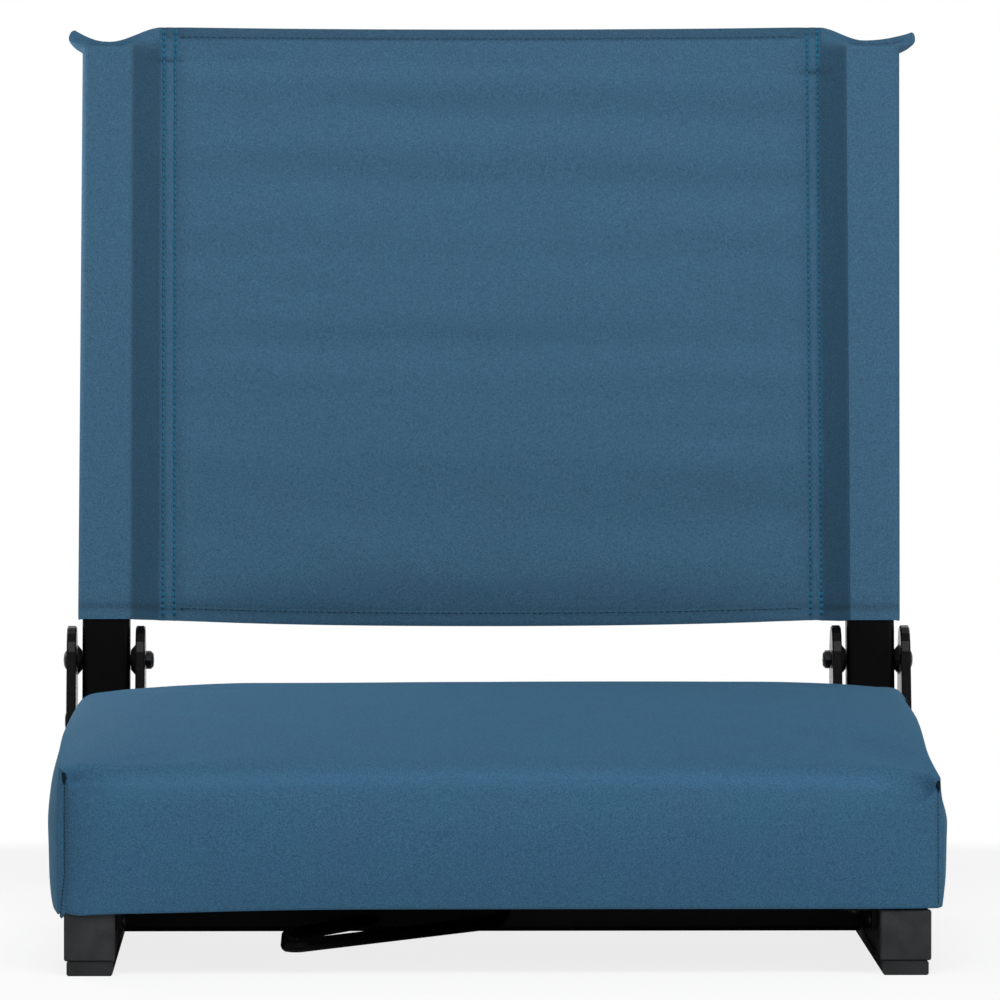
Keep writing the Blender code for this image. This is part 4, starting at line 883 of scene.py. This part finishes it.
def slingStitches():
    # two rows down each strip, in front and behind, and one along each hem
    size, rows = sling, stitchRows
    forward = (backTurn @ Vector((0, -1, 0))).normalized()
    back = size["setback"] + size["overlap"] + size["cloth"] / 2
    rowRuns, hemRuns = [], []

    def onFront(x, z):
        return size["setback"] + slingWrinkle(x, z) * size["onStrip"] + slingGroove(x, z) - size["cloth"] / 2

    def onBack(x, z):
        return x, back + slingWrinkle(x, z) * size["onStrip"], z

    def stitch(a, b, out):
        return stitchRun(backPoint(*a), backPoint(*b), out, rows["sink"], rows["proud"])

    for sign in (-1, 1):
        for row in rows["places"][sign]:
            x = sign * row
            low, high = slingBottom(row, sign) + rows["ends"], slingTop(row, sign) - rows["ends"]
            for k in range(int((high - low) / rows["pitch"])):
                z = high - k * rows["pitch"]
                end = z - rows["length"]
                near = min(high - z, end - low)
                for shift in ((-rows["aside"], rows["aside"]) if near < rows["doubled"] else (0,)):
                    lean = shift * rows["crossing"]
                    rowRuns.append(stitch((x + shift, onFront(x, z), z), (x + shift - lean, onFront(x, end), end),
                                          forward))
                rowRuns.append(stitch(onBack(x, z), onBack(x, end), -forward))
    inner = {sign: slingSeam(sign) - size["strip"][sign] for sign in (-1, 1)}
    first = rows["hemEnds"] - inner[-1]
    for k in range(int((inner[1] - rows["hemEnds"] - first) / rows["pitch"])):
        xa = first + k * rows["pitch"]
        for atTop in (True, False):
            ends = []
            for x in (xa, xa + rows["length"]):
                sign = sideOf(x)
                z = slingTop(abs(x), sign) - rows["topLine"]
                if not atTop:
                    z = slingBottom(abs(x), sign) + rows["lowLine"]
                sag = size["sag"] * (1 - (x / inner[sign]) ** 2)
                ends.append((x, size["setback"] + sag + slingWrinkle(x, z) + slingCurl(x, z), z))
            for side, out in ((-1, forward), (1, -forward)):
                moved = [(x, y + side * size["hemCloth"] / 2, z) for x, y, z in ends]
                hemRuns.append(stitch(*moved, out))
    return (threadPiece("slingStitches", rowRuns, rows["thread"], threadMaterial),
            threadPiece("hemStitches", hemRuns, rows["hemThread"], hemThread))


backSling, slingWidth = buildSling()
applied(backSling, "SOLIDIFY", {"thickness": sling["hemCloth"], "offset": 0, "vertex_group": "layers"})
smoothed(backSling, 50)
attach(backSling, "back")
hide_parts("back_sling")
slingThreads = slingStitches()
for thread in slingThreads:
    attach(thread, "back")
print("stage: sling,", len(backSling.data.polygons), "faces, cut width %.3f" % slingWidth,
      "and", sum(len(thread.data.polygons) for thread in slingThreads), "faces of thread")


# dust cover: thin felt drawn flat under the board, a little slack between its staples
dustCloth = {"cloth": 0.0006, "slack": 0.0007, "tautEdge": 6, "across": 46, "along": 30, "opening": 0.0055,
             "clear": 0.014, "even": 0.7, "varies": 0.5, "wave": (22, 22, 2.2)}


def buildDustCover():
    look = dustCloth
    low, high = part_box("dust_cover")
    barLow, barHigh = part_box("rail_crossbar")
    screws = [[(start + end) / 2 for start, end in zip(*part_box(name))][:2]
              for name in withSides("crossbar_screw_{}")]
    points = []
    for j in range(look["along"] + 1):
        y = low[1] + (high[1] - low[1]) * j / look["along"]
        offBar = max(barLow[1] - y, y - barHigh[1], 0)
        for i in range(look["across"] + 1):
            x = low[0] + (high[0] - low[0]) * i / look["across"]
            u, v = 2 * i / look["across"] - 1, 2 * j / look["along"] - 1
            slack = (1 - u ** look["tautEdge"]) * (1 - v ** look["tautEdge"])
            slack *= smoothStep(0, look["clear"], offBar) * (
                look["even"] + look["varies"] * waver(x, y, *look["wave"]))
            points.append((x, y, (low[2] + high[2]) / 2 - look["slack"] * slack))
    faces = []
    for corners in gridFaces(look["across"] + 1, look["along"] + 1):
        middle = [sum(points[corner][axis] for corner in corners) / 4 for axis in (0, 1)]
        if all(math.dist(middle, screw) > look["opening"] for screw in screws):
            faces.append(corners)
    piece = meshPiece("dustCover", points, faces, feltCloth)
    applied(piece, "SOLIDIFY", {"thickness": look["cloth"], "offset": 0})
    smoothed(piece, 40)
    return piece, (high[0] - low[0], high[1] - low[1])


staple = {"crown": 0.0095, "wire": 0.0011, "flat": 0.0006, "leg": 0.0022, "round": 0.00018, "spacing": 0.034,
          "inset": 0.0045, "hemInset": 0.0125, "hemHalf": 0.172, "proud": 0.0001, "offBars": 0.007, "lean": 3.0,
          "leanWave": (90, 90, 0.5)}


def drawOut(piece, wanted, move):
    # extrudes the wanted faces
    choose(piece)
    bpy.ops.object.mode_set(mode="EDIT")
    bpy.ops.mesh.select_mode(type="FACE")
    bpy.ops.mesh.select_all(action="DESELECT")
    bpy.ops.object.mode_set(mode="OBJECT")
    for face in piece.data.polygons:
        face.select = wanted(face)
    bpy.ops.object.mode_set(mode="EDIT")
    bpy.ops.mesh.extrude_region_move(TRANSFORM_OT_translate={"value": move})
    bpy.ops.object.mode_set(mode="OBJECT")


def modelStaple():
    # a flat wire bar drawn out of a cube, with its two ends turned up
    bpy.ops.mesh.primitive_cube_add(size=1, location=(0, 0, 0))
    piece = bpy.context.active_object
    bpy.ops.object.mode_set(mode="EDIT")
    bpy.ops.mesh.select_all(action="SELECT")
    bpy.ops.transform.resize(value=(staple["crown"], staple["wire"], staple["flat"]))
    bpy.ops.object.mode_set(mode="OBJECT")
    for end in (-1, 1):
        drawOut(piece, lambda face: face.normal.x * end > 0.9, (end * staple["flat"], 0, 0))
        drawOut(piece, lambda face: face.normal.z > 0.9 and face.center.x * end > staple["crown"] / 2,
                (0, 0, staple["leg"]))
    applied(piece, "BEVEL", {"width": staple["round"], "segments": 1, "limit_method": "ANGLE"})
    piece.data.materials.append(stapleWire)
    return piece


def spaced(low, high):
    count = max(round((high - low) / staple["spacing"]), 1)
    return [low + (high - low) * (k + 0.5) / count for k in range(count)]


def buildStaples():
    low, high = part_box("dust_cover")
    inset, reach = staple["inset"], staple["offBars"]
    sunk = staple["flat"] / 2 + staple["proud"]
    bars = [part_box("rail_crossbar"), *(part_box(name) for name in withSides("board_tab_{}"))]
    under, hemUnder = low[2] - sunk, cushion["underside"] - sunk
    places = [(x, y, under, 0) for x in spaced(low[0], high[0]) for y in (low[1] + inset, high[1] - inset)]
    places += [(x, y, under, 90) for y in spaced(low[1], high[1]) for x in (low[0] + inset, high[0] - inset)]
    hemRows = (frontY + staple["hemInset"], frontY + cushion["depth"] - staple["hemInset"])
    places += [(x, y, hemUnder, 0) for x in spaced(-staple["hemHalf"], staple["hemHalf"]) for y in hemRows]
    first = modelStaple()
    copies = []
    for x, y, z, turn in places:
        # none under the crossbar and the tabs
        if any(all(bar[0][k] - reach < (x, y)[k] < bar[1][k] + reach for k in (0, 1)) for bar in bars):
            continue
        copied = newObject("boardStaple", first.data.copy())
        copied.location = (x, y, z)
        lean = staple["lean"] * waver(x, y, *staple["leanWave"])
        copied.rotation_euler = (0, 0, math.radians(turn + lean))
        copies.append(copied)
    bpy.data.objects.remove(first)
    choose(copies[0])
    for copied in copies:
        copied.select_set(True)
    bpy.ops.object.join()
    joined = bpy.context.active_object
    joined.name = "boardStaples"
    bpy.ops.object.transform_apply(location=True, rotation=True, scale=True)
    return joined


weld = {"bead": 0.0017, "step": 0.0007, "ripple": 0.0023, "swell": 0.17, "rough": 0.12, "ends": (-0.001, 0.003),
        "thinEnd": 0.35, "topGap": 0.003, "lowGap": 0.002, "sideGap": 0.001, "wave": (300, 50), "seeds": 50}


def weldRun(start, end):
    # a bead laid in overlapping ripples, thinner at its ends
    start, end = Vector(start), Vector(end)
    length = (end - start).length
    count = int(length / weld["step"])
    run = []
    for k in range(count + 1):
        place = length * k / count
        ripple = 1 + weld["swell"] * math.cos(2 * math.pi * place / weld["ripple"])
        ripple += weld["rough"] * waver(place, start.x, *weld["wave"], start.y * weld["seeds"])
        full = smoothStep(*weld["ends"], place) * smoothStep(*weld["ends"], length - place)
        run.append((start.lerp(end, k / count), ripple * (weld["thinEnd"] + (1 - weld["thinEnd"]) * full)))
    return run


def buildWelds():
    barLow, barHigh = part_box("rail_crossbar")
    bracketLow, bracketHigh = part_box("hook_bracket")
    top, bottom = barHigh[2] - weld["topGap"], barLow[2] + weld["lowGap"]
    left, right = bracketLow[0] + weld["sideGap"], bracketHigh[0] - weld["sideGap"]
    front = barLow[1]
    runs = [weldRun((x, y, top), (x, y, bottom)) for x in (barLow[0], barHigh[0]) for y in (front, barHigh[1])]
    runs += [weldRun((left, front, z), (right, front, z)) for z in (bracketLow[2], bracketHigh[2])]
    # the beads take the frame's greyer enamel, painted light
    return threadPiece("frameWelds", runs, weld["bead"], frameEnamelPaintedLight)


dustCover, dustSize = buildDustCover()
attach(dustCover, "seat")
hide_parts("dust_cover")
boardStaples = buildStaples()
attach(boardStaples, "seat")
frameWelds = buildWelds()
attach(frameWelds, "seat")
print("stage: underside,", len(dustCover.data.polygons), "faces of felt,",
      len(boardStaples.data.polygons), "of staples")


# stage: a pale floor that fades into a white backdrop, soft light from the front and above
studio = {"floorColour": "#fcfcfc", "floorRadius": 14.0, "fadeFrom": 0.30, "fadeTo": 0.75, "paler": 0.82,
          "ambient": 0.18}
# each lamp's power in watts, size, place and what it points at
lamps = {"keyLamp": (82.0, (2.2, 1.6), (0.1, -2.2, 3.0), (0, 0, 0.2)),
         "fillLamp": (18.0, (1.6, 1.6), (2.4, -2.0, 1.0), (0, 0, 0.2)),
         "topLamp": (0.75, (0.12, 0.12), (-0.42, 0.22, 0.45), (-0.10, -0.05, 0.12))}


def aimed(holder, place, target):
    holder.location = place
    holder.rotation_euler = (Vector(target) - holder.location).to_track_quat("-Z", "Y").to_euler()


def areaLamp(name, power, size, place, target):
    lamp = bpy.data.lights.new(name, "AREA")
    lamp.energy = power
    lamp.shape = "RECTANGLE"
    lamp.size, lamp.size_y = size
    aimed(newObject(name, lamp), place, target)


def buildStage():
    bpy.ops.mesh.primitive_circle_add(vertices=96, radius=studio["floorRadius"], fill_type="NGON",
                                      location=(0, 0, 0))
    floor = bpy.context.active_object
    floor.name = "studioFloor"
    # painted boards: dull, so that only a soft shadow shows on them
    material, tree, shader = newMaterial("paintedFloor", studio["floorColour"], {
        "Roughness": 0.9, "Specular IOR Level": 0.1})
    place = addNode(tree, "ShaderNodeTexCoord").outputs["Object"]
    far = addNode(tree, "ShaderNodeVectorMath", {"operation": "LENGTH"}, {0: place})
    # the camera sees a nearly white floor with the seat's shadow left in it; further out it fades to white
    ends = {"From Min": studio["fadeFrom"], "From Max": studio["fadeTo"]}
    fade = addNode(tree, "ShaderNodeMapRange", ends, {"Value": far.outputs["Value"]}).outputs["Result"]
    rays = addNode(tree, "ShaderNodeLightPath").outputs
    direct = mathNode(tree, "MULTIPLY", rays["Is Camera Ray"], mathNode(tree, "MAXIMUM", fade, studio["paler"]))
    mirrored = mathNode(tree, "MULTIPLY", rays["Is Glossy Ray"], fade)
    seen = mathNode(tree, "MAXIMUM", direct, mirrored)
    white = addNode(tree, "ShaderNodeEmission", {"Color": (1, 1, 1, 1), "Strength": 1.0})
    mix = addNode(tree, "ShaderNodeMixShader", links={0: seen, 1: shader.outputs["BSDF"],
                                                      2: white.outputs["Emission"]})
    tree.links.new(mix.outputs["Shader"], tree.nodes["Material Output"].inputs["Surface"])
    floor.data.materials.append(material)

    # the backdrop is white to the eye and in gloss, and lights the seat only a little
    world = bpy.data.worlds.new("studioWorld")
    bpy.context.scene.world = world
    world.use_nodes = True
    tree = world.node_tree
    backdrop = tree.nodes["Background"]
    rays = addNode(tree, "ShaderNodeLightPath").outputs
    seen = mathNode(tree, "MAXIMUM", rays["Is Camera Ray"], rays["Is Transmission Ray"])
    seen = mathNode(tree, "MAXIMUM", seen, rays["Is Glossy Ray"])
    strength = addNode(tree, "ShaderNodeMapRange", {"To Min": studio["ambient"], "To Max": 1.0}, {"Value": seen})
    backdrop.inputs["Color"].default_value = (1, 1, 1, 1)
    tree.links.new(strength.outputs["Result"], backdrop.inputs["Strength"])
    for name, look in lamps.items():
        areaLamp(name, *look)


buildStage()

# camera: far off with a long lens, a little left of the middle and level with the upper back
view = {"distance": 4.5, "x": -0.070, "height": 0.406, "aim": (0.001, 0.234), "lens": 330.6, "clip": (0.5, 60)}


def buildCamera():
    camera = bpy.data.cameras.new("photoCamera")
    camera.lens = view["lens"]
    camera.clip_start, camera.clip_end = view["clip"]
    holder = newObject("photoCamera", camera)
    aimX, aimZ = view["aim"]
    aimed(holder, (view["x"], frontY - view["distance"], view["height"]), (aimX, frontY, aimZ))
    bpy.context.scene.camera = holder


buildCamera()
bpy.context.scene.view_settings.view_transform = "Standard"

print("stage: done")
